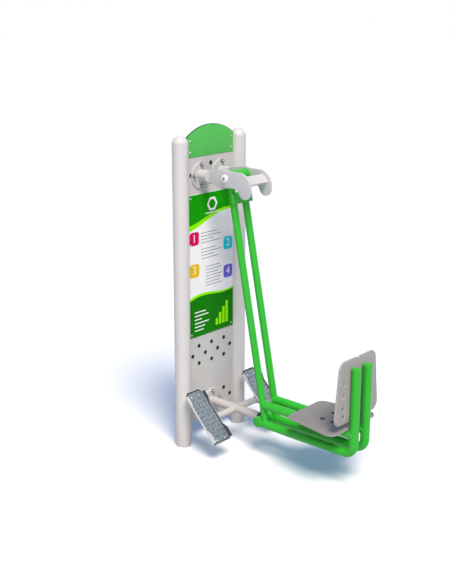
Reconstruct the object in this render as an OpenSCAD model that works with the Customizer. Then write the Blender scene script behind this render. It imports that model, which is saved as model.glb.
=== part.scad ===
// Outdoor leg press. A seat on a hanging frame swings away from a two-post station when the user,
// sitting with the back to the open side, pushes against two fixed foot plates.
// Millimetres. +X points from the station out to the seat, +Y along the panel and +Z up.
// The origin is on the ground, midway between the two posts.

/* [Posts] */
// Outer diameter of each post
post_d = 108; // [95:1:120]
// Wall of each post
post_wall = 4; // [3:0.5:6]
// Height of the posts' domes above the header's corners
post_over = 16; // [5:1:60]
// Distance between the post centres
post_span = 564; // [540:2:640]
// Depth of the socket in each foot, which slips over a ground spigot
socket_depth = 150; // [80:5:200]
// Thickness of the disc that ends each socket
socket_stop_t = 6; // [4:1:10]
// How far a dome's spigot reaches into its post
cap_spigot = 35; // [20:1:60]

/* [Panel] */
// Thickness of the hollow panel between the posts
panel_t = 14; // [12:1:20]
// Sheet that the panel is folded from
panel_sheet = 2; // [1.5:0.5:3]
// Height of the panel's lower edge
panel_bottom = 140; // [110:5:160]
// Diameter of the round holes in the panel
hole_d = 28; // [16:1:30]
// Distance between neighbouring holes of one row
hole_pitch = 126.6; // [115:0.2:130]
// Height of the middle of the lower band of holes
low_band_z = 248; // [240:1:260]
// Height of the middle of the central band of holes
mid_band_z = 627; // [600:1:650]
// Height of the middle of the upper band of holes above the pivot axis
high_band_rise = 6; // [2:1:12]
// Thickness of the dark lining behind the holes
lining_t = 1; // [0.5:0.5:2]

/* [Header and info board] */
// Gap between the arched header and each post
header_gap = 5; // [3:1:20]
// Thickness of the header, which fits over the panel
header_t = 20; // [18:1:30]
// Gap between the header's lower edge and the head's flanges
header_clear = 30; // [20:1:40]
// Height of the header's straight sides
header_side_h = 139; // [130:1:150]
// Rise of the header's arch above its two upper corners
header_rise = 70; // [50:1:90]
// Solid depth of the header above the panel's top edge
header_roof = 34; // [20:1:50]
// Gap between the info board and each post
board_gap = 6; // [3:1:30]
// Thickness of the info board
board_t = 3; // [2:0.5:6]
// Height of the info board's lower edge
board_bottom = 760; // [750:5:800]
// Gap between the info board's upper edge and the head's flanges
board_clear = 37; // [25:1:80]
// Corner radius of the info board
board_corner_r = 8; // [4:1:15]
// Diameter of the rivets' domed heads
rivet_d = 12; // [8:1:16]
// Height of the rivets' heads
rivet_h = 3; // [2:0.5:4]
// Diameter of the rivets' shanks
rivet_shank_d = 5; // [4:0.5:6]

/* [Flanges and bolts] */
// Diameter of the mounting flanges and of the clamp plates behind the panel
flange_d = 178; // [170:1:185]
// Thickness of the mounting flanges
flange_t = 10; // [8:1:14]
// Thickness of the clamp plates behind the panel
clamp_t = 8; // [6:1:12]
// Diameter of the circle that a flange's four bolts lie on
flange_bolt_circle = 142; // [136:1:146]
// Diameter of the flange bolts
flange_bolt_d = 12; // [10:1:14]
// Radial clearance of a screw or rivet in its hole
hole_play = 0.4; // [0.2:0.1:0.8]

/* [Pivot head] */
// Distance of the pivot axis from the plane of the posts
pivot_x = 230; // [220:1:245]
// Height of the pivot axis
pivot_z = 1876; // [1870:1:1885]
// Outer diameter of the two stub tubes that carry the head
stub_d = 76; // [70:1:80]
// Wall of the stub tubes
stub_wall = 5; // [4:0.5:8]
// Distance of the stubs' outer ends from the plane of the posts
stub_end_x = 83; // [75:1:90]
// Distance of each cheek's mid-plane from the middle of the head
cheek_y = 101; // [100:0.5:108]
// Thickness of each cheek
cheek_t = 16; // [12:1:18]
// Radius of a cheek around the pivot
cheek_pivot_r = 57; // [52:1:60]
// Distance of the nose's arc centre out from the pivot axis
nose_x = 120; // [112:1:128]
// Depth of the nose's arc centre below the pivot axis
nose_drop = 47; // [44:1:50]
// Radius of the nose's outer arc
nose_r = 97; // [92:1:100]
// Distance of the hook tip's centre out from the pivot axis
hook_x = 168; // [164:1:172]
// Depth of the hook tip's centre below the pivot axis
hook_drop = 70; // [66:1:74]
// Radius of the hook tip
hook_r = 48; // [44:1:50]
// Radius of the fillet inside the hook
hook_fillet_r = 28; // [20:1:32]
// Length of the sloping brace plate between the cheeks
brace_l = 70; // [60:1:76]
// Thickness of the brace plate
brace_t = 18; // [12:1:20]
// Depth of the brace plate's outer face below the nose's arc
brace_inset = 31; // [10:1:36]

/* [Axle and hub] */
// Diameter of the fixed axle
axle_d = 30; // [26:1:34]
// Radial running clearance of the bearings on the axle
bearing_play = 0.05; // [0.02:0.01:0.09]
// Outer diameter of the bearings
bearing_d = 62; // [56:1:66]
// Width of each bearing
bearing_w = 16; // [12:1:20]
// Outer diameter of the hub
hub_d = 90; // [84:1:94]
// Distance between the hub's ends and the cheeks
hub_gap = 3; // [3:0.5:5]
// Diameter of the thrust washers
washer_d = 52; // [44:1:60]
// Running gap between a thrust washer and the hub
washer_gap = 0.3; // [0.2:0.1:0.6]
// Diameter of the caps on the axle's ends
axle_cap_d = 54; // [46:1:60]
// Height of the caps on the axle's ends
axle_cap_t = 12; // [8:1:16]
// Height of the crown on those caps
axle_cap_crown = 3; // [1:0.5:5]
// Diameter of the screws in the axle's ends
axle_screw_d = 14; // [10:1:16]

/* [Swinging frame] */
// Outer diameter of the two hanging arms
arm_d = 48; // [42:1:50]
// Outer diameter of the rails and uprights
rail_d = 60; // [54:1:64]
// Wall of the arms, rails and uprights
frame_wall = 3.5; // [2.5:0.5:5]
// Distance of each side's tubes from the middle of the frame
frame_y = 60; // [54:0.5:60]
// Lean of the hanging arms from upright, in degrees
arm_lean = 11.3; // [10:0.1:12]
// Height of the lower rails' axes
low_rail_z = 243; // [235:1:250]
// Height of the upper rails' axes
high_rail_z = 379; // [370:1:395]
// Distance of the uprights from the plane of the posts
upright_x = 1270; // [1240:2:1300]
// Height of the uprights' tube ends
upright_top = 817; // [780:1:840]
// Radius of the bends between the lower rails and the uprights
bend_r = 70; // [60:1:90]
// Distance of the rear cross barrel from the plane of the posts
barrel_x = 504.5; // [504:0.5:512]
// Height of the rear cross barrel's axis
barrel_z = 252; // [246:1:258]
// Diameter of the rear cross barrel
barrel_d = 69; // [64:1:70]
// Length of the rear cross barrel with its caps
barrel_l = 184; // [180:1:190]
// Thickness of the caps of the barrel and the uprights
end_cap_t = 4; // [3:0.5:6]
// Width of the front bar, which meets the cheeks' hooks at the end of the swing
front_bar_w = 196; // [194:1:204]
// Height of the front bar along the arms
front_bar_h = 74; // [60:1:80]
// Thickness of the front bar
front_bar_t = 10; // [8:1:12]
// Distance of the front bar's middle from the pivot, along the arms
front_bar_drop = 135.6; // [130:0.2:145]
// Depth that the front bar is notched over the arms
front_bar_notch = 2; // [1:0.5:3]

/* [Seat and back] */
// Length of the seat board and of the back board
board_len = 414; // [380:2:420]
// Width of both boards at the notched end
board_narrow_w = 390; // [340:2:400]
// Width of the seat board at the other end
seat_wide_w = 490; // [440:2:500]
// Width of the back board at the other end
back_wide_w = 460; // [440:2:500]
// Corner radius of the boards
board_r = 57; // [40:1:65]
// Thickness of the boards
board_thick = 11; // [8:1:18]
// Width of the notch in the narrow end
notch_w = 28; // [20:1:40]
// Depth of the notch in the narrow end
notch_depth = 10; // [6:1:14]
// Gap between the seat's rear edge and the uprights
seat_gap = 1; // [0.5:0.5:4]
// Height of the back board's top edge
back_top = 880; // [860:1:900]
// Distance of the first pair of board screws from the narrow end
screw_first = 198; // [180:1:205]
// Distance between the two pairs of board screws
screw_pitch = 81; // [70:1:90]
// Diameter of the domed screw caps
screw_cap_d = 34; // [26:1:38]
// Height of the domed screw caps
screw_cap_h = 7; // [5:0.5:9]
// Diameter of the board screws
screw_d = 10; // [8:1:12]
// Diameter of the drain holes in the boards
drain_d = 22; // [12:1:26]

/* [Beam and foot plates] */
// Outer diameter of the beam
beam_d = 60; // [54:1:62]
// Wall of the beam and of the foot bar
beam_wall = 4; // [3:0.5:6]
// Height of the beam's axis
beam_z = 252; // [246:1:258]
// Distance of the beam's end from the plane of the posts
beam_end_x = 450; // [440:1:455]
// Thickness of the plug in the beam's end
beam_plug_t = 6; // [4:1:10]
// Diameter of the rubber bumper
bumper_d = 50; // [40:1:54]
// Gap between the bumper and the barrel at rest
bumper_gap = 0.3; // [0.2:0.1:1]
// Outer diameter of the foot bar
foot_bar_d = 48; // [42:1:50]
// Distance of the foot bar from the plane of the posts
foot_bar_x = 222; // [215:1:240]
// Height of the foot bar's axis
foot_bar_z = 243; // [236:0.5:246]
// Distance of the foot bar's ends out from the middles of the foot plates
foot_bar_end = 18; // [14:1:40]
// Distance of each foot plate from the middle of the machine
foot_plate_y = 288; // [280:1:300]
// Angle of the foot plates from level, in degrees
foot_plate_tilt = 46.1; // [40:0.5:55]
// Width of each foot plate
tray_w = 168; // [150:1:180]
// Length of the foot plates' side flanges
tray_l = 364; // [320:2:380]
// Sheet that the foot plates are folded from
tray_sheet = 3; // [2:0.5:4]
// Inner radius of the sheet's folds
fold_r = 4; // [3:0.5:6]
// Depth of the side flanges at the upper end
flange_top_h = 30; // [26:1:36]
// Depth of the side flanges at the lower end
flange_bottom_h = 36; // [28:1:42]
// Depth of the side flanges in the middle
flange_mid_h = 15; // [12:1:20]
// Depth of the end lips
lip_h = 17; // [12:1:24]
// Thickness of the riveted tread sheets
tread_t = 2; // [1.5:0.5:3]
// Thickness of the plates that carry the foot plates
pad_t = 7; // [5:1:10]

/* [Hidden] */

// One overrun serves every cut
cut = 1;
round_fn = 96;
$fn = round_fn;

post_r = post_d / 2;
header_w = post_span - post_d - 2 * header_gap;
board_w = post_span - post_d - 2 * board_gap;
header_bottom = pivot_z + flange_d / 2 + header_clear;
header_corner_z = header_bottom + header_side_h;
header_apex_z = header_corner_z + header_rise;
post_h = header_corner_z + post_over;
dome_z = post_h - post_r;
panel_top = header_corner_z - header_roof;
board_top = pivot_z - flange_d / 2 - board_clear;
high_band_z = pivot_z + high_band_rise;
panel_face = panel_t / 2;
header_rivet_inset = 25;
header_rivet_low = 37;
header_rivet_high = 29;
board_rivet_inset = 22;
board_rivet_edge = 23;
board_rivet_rows = 4;
flange_face = panel_face + flange_t;
clamp_back = -panel_face - clamp_t;

// Hexagon and dome of a flange bolt's cap nut, and the hexagon of its head
nut_d = 28;
nut_hex_h = 12;
nut_dome_d = 22;
nut_dome_h = 12;
head_h = 8;

bolt_shares = [[1, 0], [0, 1], [-1, 0], [0, -1]];
cheek_in = cheek_y - cheek_t / 2;
cheek_out = cheek_y + cheek_t / 2;
hub_l = 2 * (cheek_in - hub_gap);
brace_slope = 45;
axle_recess_share = 0.3;
axle_recess_depth = 5;
axle_screw_reach = 25;
axle_screw_key = 8;

high_arm_x = pivot_x + (pivot_z - high_rail_z) * tan(arm_lean);
arm_len = (pivot_z - low_rail_z) / cos(arm_lean);
seat_z = high_rail_z + rail_d / 2;
back_x = upright_x - rail_d / 2;
rail_tip = 8;
seat_x = back_x - seat_gap - board_len;
cap_inset = 20;
cap_dome_h = 3;
screw_reach = 14;

// Drain holes of the two boards, as distances from the narrow end and from the middle
seat_drains = [[109, 164], [344, 176]];
back_drains = [[152, 147], [232, 148], [309, 145], [364, 140]];

foot_bar_l = 2 * (foot_plate_y + foot_bar_end);
carrier_inset = 16;
pad_l = 120;
pad_w = 84;
gusset_t = 6;
gusset_gap = 44;
gusset_rim = 9;
gusset_r = foot_bar_d / 2 + gusset_rim;
tray_shift = 11;
carrier_bite = 0.6;
top_run = 27;
top_half_w = 53;
bottom_run = 14;
bottom_half_w = 70;
top_flange_l = 50;
bottom_flange_l = 66;
flange_slope_l = 34;
tread_gap = 3;
tread_rivet_u = 169;
tread_rivet_v = 36;

// A pipe that stands on z = 0
module pipe(d, wall, h) {
    difference() {
        cylinder(d = d, h = h);
        translate([0, 0, -cut]) cylinder(d = d - 2 * wall, h = h + 2 * cut);
    }
}

// A solid rod along X from one place to another
module rod_x(d, from, to) {
    translate([from, 0, 0]) rotate([0, 90, 0]) cylinder(d = d, h = to - from);
}

// A solid rod along Y, centred on y = 0
module rod_y(d, length) {
    rotate([90, 0, 0]) cylinder(d = d, h = length, center = true);
}

// A shallow dome, a slice of a ball, that stands on z = 0
module dome(d, h) {
    ball_r = (d * d / 4 + h * h) / (2 * h);
    rotate_extrude() intersection() {
        translate([0, h - ball_r]) circle(r = ball_r);
        square([d / 2, h]);
    }
}

// A flat rectangle with round corners
module round_rect(w, h, r) {
    square([w - 2 * r, h], center = true);
    square([w, h - 2 * r], center = true);
    for (i = [-1, 1], j = [-1, 1])
        translate([i * (w / 2 - r), j * (h / 2 - r)]) circle(r = r);
}

// Turns a flat shape drawn in (Y, Z) to face +X, and extrudes it from x = 0
module face_x(t) {
    rotate([90, 0, 90]) linear_extrude(t) children();
}

module post(side) {
    color("gainsboro") translate([0, side * post_span / 2, 0]) {
        pipe(post_d, post_wall, dome_z);
        translate([0, 0, socket_depth])
            cylinder(d = post_d - 2 * post_wall, h = socket_stop_t);
    }
}

module post_cap(side) {
    color("gainsboro") translate([0, side * post_span / 2, dome_z]) rotate_extrude() difference() {
        union() {
            intersection() {
                circle(r = post_r);
                square(post_r);
            }
            translate([0, -cap_spigot]) square([post_r - post_wall, cap_spigot + cut]);
        }
        translate([0, -cap_spigot - cut])
            square([post_r - 2 * post_wall, cap_spigot + cut]);
        intersection() {
            circle(r = post_r - 2 * post_wall);
            square(post_r);
        }
    }
}

// The posts as solid rods, to cut the panel's sides to their curve
module post_rods() {
    for (side = [-1, 1])
        translate([0, side * post_span / 2, -cut]) cylinder(d = post_d, h = post_h);
}

// Places of the holes: three rows of a band, with the middle row half a pitch aside.
// A hole that a flange would cover is left out.
flange_places = [[-cheek_y, pivot_z], [cheek_y, pivot_z], [0, beam_z]];
band_places = [
    for (band_z = [low_band_z, mid_band_z, high_band_z], row = [-1, 0, 1])
        for (column = row == 0 ? [-1.5, -0.5, 0.5, 1.5] : [-1, 0, 1])
            [column * hole_pitch, band_z + row * hole_pitch / 2]];
hole_places = [
    for (place = band_places)
        if (min([for (flange = flange_places) norm(place - flange)]) > flange_d / 2 - hole_d / 4)
            place];

header_rivets = [
    for (side = [-1, 1], z = [header_bottom + header_rivet_low, header_corner_z - header_rivet_high])
        [side * (header_w / 2 - header_rivet_inset), z]];
board_rivets = [
    for (side = [-1, 1], row = [0 : board_rivet_rows - 1])
        [side * (board_w / 2 - board_rivet_inset),
         board_bottom + board_rivet_edge
         + row * (board_top - board_bottom - 2 * board_rivet_edge) / (board_rivet_rows - 1)]];
flange_bolt_places = [
    for (flange = flange_places, share = bolt_shares) flange + share * flange_bolt_circle / 2];

// Round cuts through the panel's plane, at places given in (Y, Z)
module cuts_x(places, d, from, to) {
    for (place = places) translate([0, place[0], place[1]]) rod_x(d, from, to);
}

module panel() {
    height = panel_top - panel_bottom;
    color("lightgray") difference() {
        translate([-panel_face, -post_span / 2, panel_bottom]) cube([panel_t, post_span, height]);
        translate([-panel_face + panel_sheet, -post_span / 2 + post_r + panel_sheet,
                   panel_bottom + panel_sheet])
            cube([panel_t - 2 * panel_sheet, post_span - post_d - 2 * panel_sheet,
                  height - 2 * panel_sheet]);
        post_rods();
        cuts_x(hole_places, hole_d, 0, panel_t);
        cuts_x(flange_bolt_places, flange_bolt_d + 2 * hole_play, -panel_t, panel_t);
        cuts_x(concat(header_rivets, board_rivets), rivet_shank_d + 2 * hole_play, 0, panel_t);
    }
}

module panel_lining() {
    inner_w = post_span - post_d - 2 * panel_sheet;
    color([0.04, 0.04, 0.05]) difference() {
        translate([panel_face - panel_sheet - lining_t, -inner_w / 2, panel_bottom + panel_sheet])
            cube([lining_t, inner_w, panel_top - panel_bottom - 2 * panel_sheet]);
        cuts_x(flange_bolt_places, flange_bolt_d + 2 * hole_play, -panel_t, panel_t);
        cuts_x(concat(header_rivets, board_rivets), rivet_shank_d + 2 * hole_play, 0, panel_t);
    }
}

module header_plate() {
    arch_r = (header_w * header_w / 4 + header_rise * header_rise) / (2 * header_rise);
    color("limegreen") difference() {
        translate([-header_t / 2, 0, 0]) face_x(header_t) intersection() {
            translate([0, header_apex_z - arch_r]) circle(r = arch_r, $fn = 2 * round_fn);
            translate([-header_w / 2, header_bottom])
                square([header_w, header_apex_z - header_bottom]);
        }
        translate([-panel_face, -header_w / 2 - cut, header_bottom - cut])
            cube([panel_t, header_w + 2 * cut, panel_top - header_bottom + cut]);
        cuts_x(header_rivets, rivet_shank_d + 2 * hole_play, 0, header_t);
    }
}

module info_board() {
    color("whitesmoke") difference() {
        translate([panel_face, 0, (board_bottom + board_top) / 2])
            face_x(board_t) round_rect(board_w, board_top - board_bottom, board_corner_r);
        cuts_x(board_rivets, rivet_shank_d + 2 * hole_play, 0, header_t);
    }
}

// A domed rivet along X, with its head's flat side on a face
module rivet(face) {
    rod_x(rivet_shank_d, panel_face - panel_sheet, face + rivet_h / 2);
    translate([face, 0, 0]) rotate([0, 90, 0]) dome(rivet_d, rivet_h);
}

module panel_rivets() {
    color("silver") {
        for (place = header_rivets) translate([0, place[0], place[1]]) rivet(header_t / 2);
        for (place = board_rivets) translate([0, place[0], place[1]]) rivet(panel_face + board_t);
    }
}

// A flange on the panel's front with the stub tube of one side of the head, closed at its end
module head_flange(side) {
    stub_l = stub_end_x - panel_face;
    color("gainsboro") difference() {
        translate([panel_face, side * cheek_y, pivot_z]) rotate([0, 90, 0]) rotate_extrude()
            difference() {
                union() {
                    square([flange_d / 2, flange_t]);
                    square([stub_d / 2, stub_l]);
                }
                translate([0, -cut])
                    square([stub_d / 2 - stub_wall, stub_l - stub_wall + cut]);
            }
        cuts_x(flange_bolt_places, flange_bolt_d + 2 * hole_play, 0, flange_face + cut);
    }
}

module beam_flange() {
    color("gainsboro") difference() {
        translate([0, 0, beam_z]) rod_x(flange_d, panel_face, flange_face);
        translate([0, 0, beam_z]) rod_x(beam_d - 2 * beam_wall, 0, flange_face + cut);
        cuts_x(flange_bolt_places, flange_bolt_d + 2 * hole_play, 0, flange_face + cut);
    }
}

module clamp_plate(place) {
    color("gainsboro") difference() {
        translate([0, place[0], place[1]]) rod_x(flange_d, clamp_back, -panel_face);
        cuts_x(flange_bolt_places, flange_bolt_d + 2 * hole_play, clamp_back - cut, 0);
    }
}

// Through bolts: a hexagon head behind the panel and a domed cap nut on the flange
module flange_bolts() {
    color("silver") for (place = flange_bolt_places) translate([0, place[0], place[1]]) {
        rod_x(flange_bolt_d, clamp_back - head_h, flange_face + nut_hex_h);
        translate([clamp_back - head_h, 0, 0]) rotate([0, 90, 0])
            cylinder(d = nut_d, h = head_h, $fn = 6);
        translate([flange_face, 0, 0]) rotate([0, 90, 0]) {
            cylinder(d = nut_d, h = nut_hex_h, $fn = 6);
            translate([0, 0, nut_hex_h]) dome(nut_dome_d, nut_dome_h);
        }
    }
}

// A cheek's outline around the pivot: a tail to the stub, a bent nose and the hook below it.
// The inside of the hook is a fillet between the straight lower edge and the tip's arc.
module cheek_outline() {
    tail = pivot_x - stub_end_x;
    fillet_x = hook_x - hook_r - hook_fillet_r;
    throat_y = -cheek_pivot_r;
    difference() {
        union() {
            hull() {
                circle(r = cheek_pivot_r);
                translate([-tail, -stub_d / 2]) square([cut, stub_d]);
            }
            intersection() {
                union() {
                    translate([0, throat_y]) square([nose_x, cheek_pivot_r + nose_r - nose_drop]);
                    translate([nose_x, -nose_drop]) circle(r = nose_r);
                }
                translate([0, -hook_drop]) square([nose_x + nose_r, hook_drop + nose_r - nose_drop]);
            }
            translate([hook_x, -hook_drop]) circle(r = hook_r);
            translate([fillet_x, throat_y - hook_fillet_r])
                square([hook_x - fillet_x, hook_fillet_r + cheek_pivot_r - hook_drop + cut]);
        }
        translate([fillet_x, throat_y - hook_fillet_r]) circle(r = hook_fillet_r);
        translate([fillet_x - 2 * hook_fillet_r, throat_y - 2 * hook_fillet_r])
            square([2 * hook_fillet_r, 2 * hook_fillet_r]);
    }
}

module cheek(side) {
    color("silver") difference() {
        translate([pivot_x, side * cheek_y + cheek_t / 2, pivot_z])
            rotate([90, 0, 0]) linear_extrude(cheek_t) cheek_outline();
        translate([pivot_x, 0, pivot_z]) rod_y(axle_d, 2 * cheek_out + 2 * cut);
    }
}

// The brace lies across the nose's outer arc, square to a line from the arc's centre
module brace_plate() {
    color("white") translate([pivot_x + nose_x, 0, pivot_z - nose_drop]) rotate([0, -brace_slope, 0])
        translate([nose_r - brace_inset - brace_t, -cheek_in, -brace_l / 2])
            cube([brace_t, 2 * cheek_in, brace_l]);
}

module axle() {
    color("silver") difference() {
        translate([pivot_x, 0, pivot_z]) rod_y(axle_d, 2 * cheek_out);
        for (side = [-1, 1]) translate([pivot_x, side * cheek_out, pivot_z])
            rod_y(axle_screw_d, 2 * axle_screw_reach);
    }
}

// Everything on one end of the axle, drawn for a cheek's outer face at z = 0
module on_axle_ends() {
    for (side = [-1, 1]) translate([pivot_x, side * cheek_out, pivot_z])
        rotate([-side * 90, 0, 0]) children();
}

module axle_caps() {
    color("silver") on_axle_ends() difference() {
        union() {
            cylinder(d = axle_cap_d, h = axle_cap_t - axle_cap_crown);
            translate([0, 0, axle_cap_t - axle_cap_crown]) dome(axle_cap_d, axle_cap_crown);
        }
        translate([0, 0, -cut]) cylinder(d = axle_screw_d, h = axle_cap_t + 2 * cut);
        translate([0, 0, axle_cap_t - axle_recess_depth])
            cylinder(d = axle_cap_d * axle_recess_share, h = axle_recess_depth + cut);
    }
}

module axle_screws() {
    color("dimgray") on_axle_ends() difference() {
        union() {
            translate([0, 0, -axle_screw_reach])
                cylinder(d = axle_screw_d, h = axle_screw_reach + axle_cap_t - axle_recess_depth);
            translate([0, 0, axle_cap_t - axle_recess_depth])
                cylinder(d = axle_cap_d * axle_recess_share, h = axle_recess_depth);
        }
        translate([0, 0, axle_cap_t - axle_recess_depth])
            cylinder(d = axle_screw_key, h = axle_recess_depth + cut, $fn = 6);
    }
}

module thrust_washers() {
    color("silver") for (side = [-1, 1]) translate([pivot_x, side * cheek_in, pivot_z])
        rotate([side * 90, 0, 0]) difference() {
            cylinder(d = washer_d, h = cheek_in - hub_l / 2 - washer_gap);
            translate([0, 0, -cut]) cylinder(d = axle_d, h = cheek_in);
        }
}

module beam() {
    color("gainsboro") difference() {
        translate([0, 0, beam_z]) difference() {
            rod_x(beam_d, flange_face, beam_end_x - beam_plug_t);
            rod_x(beam_d - 2 * beam_wall, 0, beam_end_x);
        }
        translate([foot_bar_x, 0, foot_bar_z]) rod_y(foot_bar_d, beam_d + cut);
    }
}

module beam_plug() {
    color("gainsboro") translate([0, 0, beam_z]) rod_x(beam_d, beam_end_x - beam_plug_t, beam_end_x);
}

module bumper() {
    color([0.05, 0.05, 0.06]) translate([0, 0, beam_z])
        rod_x(bumper_d, beam_end_x, barrel_x - barrel_d / 2 - bumper_gap);
}

module foot_bar() {
    color("gainsboro") translate([foot_bar_x, 0, foot_bar_z]) difference() {
        rod_y(foot_bar_d, foot_bar_l - 2 * end_cap_t);
        rod_y(foot_bar_d - 2 * beam_wall, foot_bar_l);
    }
}

// A flat end cap with a spigot, drawn to stand on a tube's end at z = 0
module end_cap(tube_d, wall) {
    cylinder(d = tube_d, h = end_cap_t);
    translate([0, 0, -cap_inset]) pipe(tube_d - 2 * wall, wall, cap_inset + cut);
}

module foot_bar_caps() {
    color("dimgray") for (side = [-1, 1])
        translate([foot_bar_x, side * (foot_bar_l / 2 - end_cap_t), foot_bar_z])
            rotate([-side * 90, 0, 0]) end_cap(foot_bar_d, beam_wall);
}

// Moves what is drawn on a foot plate's own axes into place: X down the slope from the middle,
// Y across and Z out towards the user, with the sheet's back on z = 0
module on_foot_plate(side) {
    translate([foot_bar_x, side * foot_plate_y, foot_bar_z]) rotate([0, foot_plate_tilt, 0])
        translate([-tray_shift, 0, foot_bar_d / 2 + pad_t - carrier_bite]) children();
}

// The foot bar on a foot plate's own axes
module foot_bar_on_plate() {
    translate([tray_shift, 0, carrier_bite - pad_t - foot_bar_d / 2]) rod_y(foot_bar_d, foot_bar_l);
}

// A carrier: a pad under the sheet and two gussets that go round the foot bar. It stands nearer
// to the beam than the middle of its foot plate.
module foot_carrier(side) {
    bar_depth = foot_bar_d / 2 + pad_t - carrier_bite;
    color("gainsboro") on_foot_plate(side) translate([0, -side * carrier_inset, 0]) difference() {
        union() {
            translate([tray_shift - pad_l / 2, -pad_w / 2, -pad_t]) cube([pad_l, pad_w, pad_t]);
            for (y = [-gusset_gap / 2 - gusset_t, gusset_gap / 2]) translate([0, y + gusset_t, 0])
                rotate([90, 0, 0]) linear_extrude(gusset_t) hull() {
                    translate([tray_shift, -bar_depth]) circle(r = gusset_r, $fn = 48);
                    translate([tray_shift - pad_l / 2, -pad_t]) square([pad_l, cut]);
                }
        }
        foot_bar_on_plate();
        translate([tray_shift - pad_l, -pad_w, 0]) cube([2 * pad_l, 2 * pad_w, pad_t]);
    }
}

// Plan of a foot plate: straight sides, with the corners cut off towards both end lips
module tray_plan(inset) {
    side = tray_w / 2 - inset;
    top = tray_l / 2 + top_run - inset;
    bottom = tray_l / 2 + bottom_run - inset;
    polygon([[-tray_l / 2, -side], [-top, inset - top_half_w], [-top, top_half_w - inset],
             [-tray_l / 2, side], [tray_l / 2, side], [bottom, bottom_half_w - inset],
             [bottom, inset - bottom_half_w], [tray_l / 2, -side]]);
}

// Section of a folded sheet: flat on z = 0 with both sides turned up round the fold radius
module folded_section(w, h) {
    outer_r = fold_r + tray_sheet;
    difference() {
        union() {
            translate([outer_r - w / 2, 0]) square([w - 2 * outer_r, h]);
            translate([-w / 2, outer_r]) square([w, h - outer_r]);
            for (i = [-1, 1]) translate([i * (w / 2 - outer_r), outer_r]) circle(r = outer_r);
        }
        translate([outer_r - w / 2, tray_sheet]) square([w - 2 * outer_r, h]);
        translate([tray_sheet - w / 2, outer_r]) square([w - 2 * tray_sheet, h]);
        for (i = [-1, 1]) translate([i * (w / 2 - outer_r), outer_r]) circle(r = fold_r);
    }
}

// Side view of the side flanges: deep at both ends, and shallow between two slopes
module flange_profile() {
    half = tray_l / 2;
    polygon([[-half, -cut], [-half, flange_top_h], [top_flange_l - half, flange_top_h],
             [top_flange_l + flange_slope_l - half, flange_mid_h],
             [half - bottom_flange_l - flange_slope_l, flange_mid_h],
             [half - bottom_flange_l, flange_bottom_h], [half, flange_bottom_h], [half, -cut]]);
}

module tray() {
    deep = max(flange_top_h, flange_bottom_h);
    intersection() {
        translate([-tray_l / 2, 0, 0]) rotate([90, 0, 90]) linear_extrude(tray_l)
            folded_section(tray_w, deep);
        translate([0, tray_w / 2 + cut, 0]) rotate([90, 0, 0]) linear_extrude(tray_w + 2 * cut)
            flange_profile();
    }
    intersection() {
        translate([(bottom_run - top_run) / 2, tray_w / 2, 0]) rotate([90, 0, 0])
            linear_extrude(tray_w) folded_section(tray_l + top_run + bottom_run, lip_h);
        union() {
            translate([0, 0, -cut]) linear_extrude(tray_sheet + cut) tray_plan(fold_r + tray_sheet);
            for (i = [-1, 1]) translate([i * (tray_l / 2 + pad_l) - pad_l, -tray_w, -cut])
                cube([2 * pad_l, 2 * tray_w, tray_w]);
        }
        translate([0, 0, -cut]) linear_extrude(tray_w) tray_plan(0);
    }
}

// Places of a tread's rivets on a foot plate's own axes
tread_rivet_places = [
    for (i = [-1, 1], j = [-1, 1]) [i * tread_rivet_u, j * tread_rivet_v]];

module foot_plate(side) {
    color("slategray") on_foot_plate(side) difference() {
        tray();
        for (place = tread_rivet_places) translate([place[0], place[1], -cut])
            cylinder(d = rivet_shank_d + 2 * hole_play, h = pad_t);
    }
}

module tread(side) {
    color("lightslategray") on_foot_plate(side) translate([0, 0, tray_sheet]) difference() {
        linear_extrude(tread_t) tray_plan(tray_sheet + fold_r + tread_gap);
        for (place = tread_rivet_places) translate([place[0], place[1], -cut])
            cylinder(d = rivet_shank_d + 2 * hole_play, h = pad_t);
    }
}

module tread_rivets() {
    color("silver") for (side = [-1, 1]) on_foot_plate(side)
        for (place = tread_rivet_places) translate([place[0], place[1], 0]) {
            cylinder(d = rivet_shank_d, h = tray_sheet + tread_t + rivet_h / 2);
            translate([0, 0, tray_sheet + tread_t]) dome(rivet_d, rivet_h);
        }
}

// The hub: a barrel with a bearing seat in each end
module hub() {
    shoulder_r = (bearing_d / 2 + axle_d / 2) / 2;
    color("limegreen") translate([pivot_x, 0, pivot_z]) difference() {
        rod_y(hub_d, hub_l);
        rod_y(2 * shoulder_r, hub_l + 2 * cut);
        for (side = [-1, 1]) translate([0, side * (hub_l / 2), 0]) rod_y(bearing_d, 2 * bearing_w);
    }
}

module bearing(side) {
    color("silver") translate([pivot_x, side * (hub_l - bearing_w) / 2, pivot_z]) difference() {
        rod_y(bearing_d, bearing_w);
        rod_y(axle_d + 2 * bearing_play, bearing_w + 2 * cut);
    }
}

// Moves what is drawn on the arms' own axes into place: the pivot at the top, -Z down the arms
module on_arms() {
    translate([pivot_x, 0, pivot_z]) rotate([0, -arm_lean, 0]) children();
}

// The two arms as solid rods, to cut the notches of what is welded to them
module arm_rods() {
    on_arms() for (side = [-1, 1]) translate([0, side * frame_y, -arm_len])
        cylinder(d = arm_d, h = arm_len);
}

// An arm is cut to the curve of the hub at its top, and of its lower rail and the barrel below
module arm(side) {
    color("limegreen") mirror([0, side > 0 ? 1 : 0, 0]) difference() {
        on_arms() translate([0, -frame_y, -arm_len]) pipe(arm_d, frame_wall, arm_len);
        translate([pivot_x, 0, pivot_z]) rod_y(hub_d, hub_l + hub_d);
        translate([0, -frame_y, low_rail_z]) rod_x(rail_d, pivot_x, upright_x);
        translate([barrel_x, 0, barrel_z]) rod_y(barrel_d, barrel_l + rail_d);
    }
}

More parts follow.
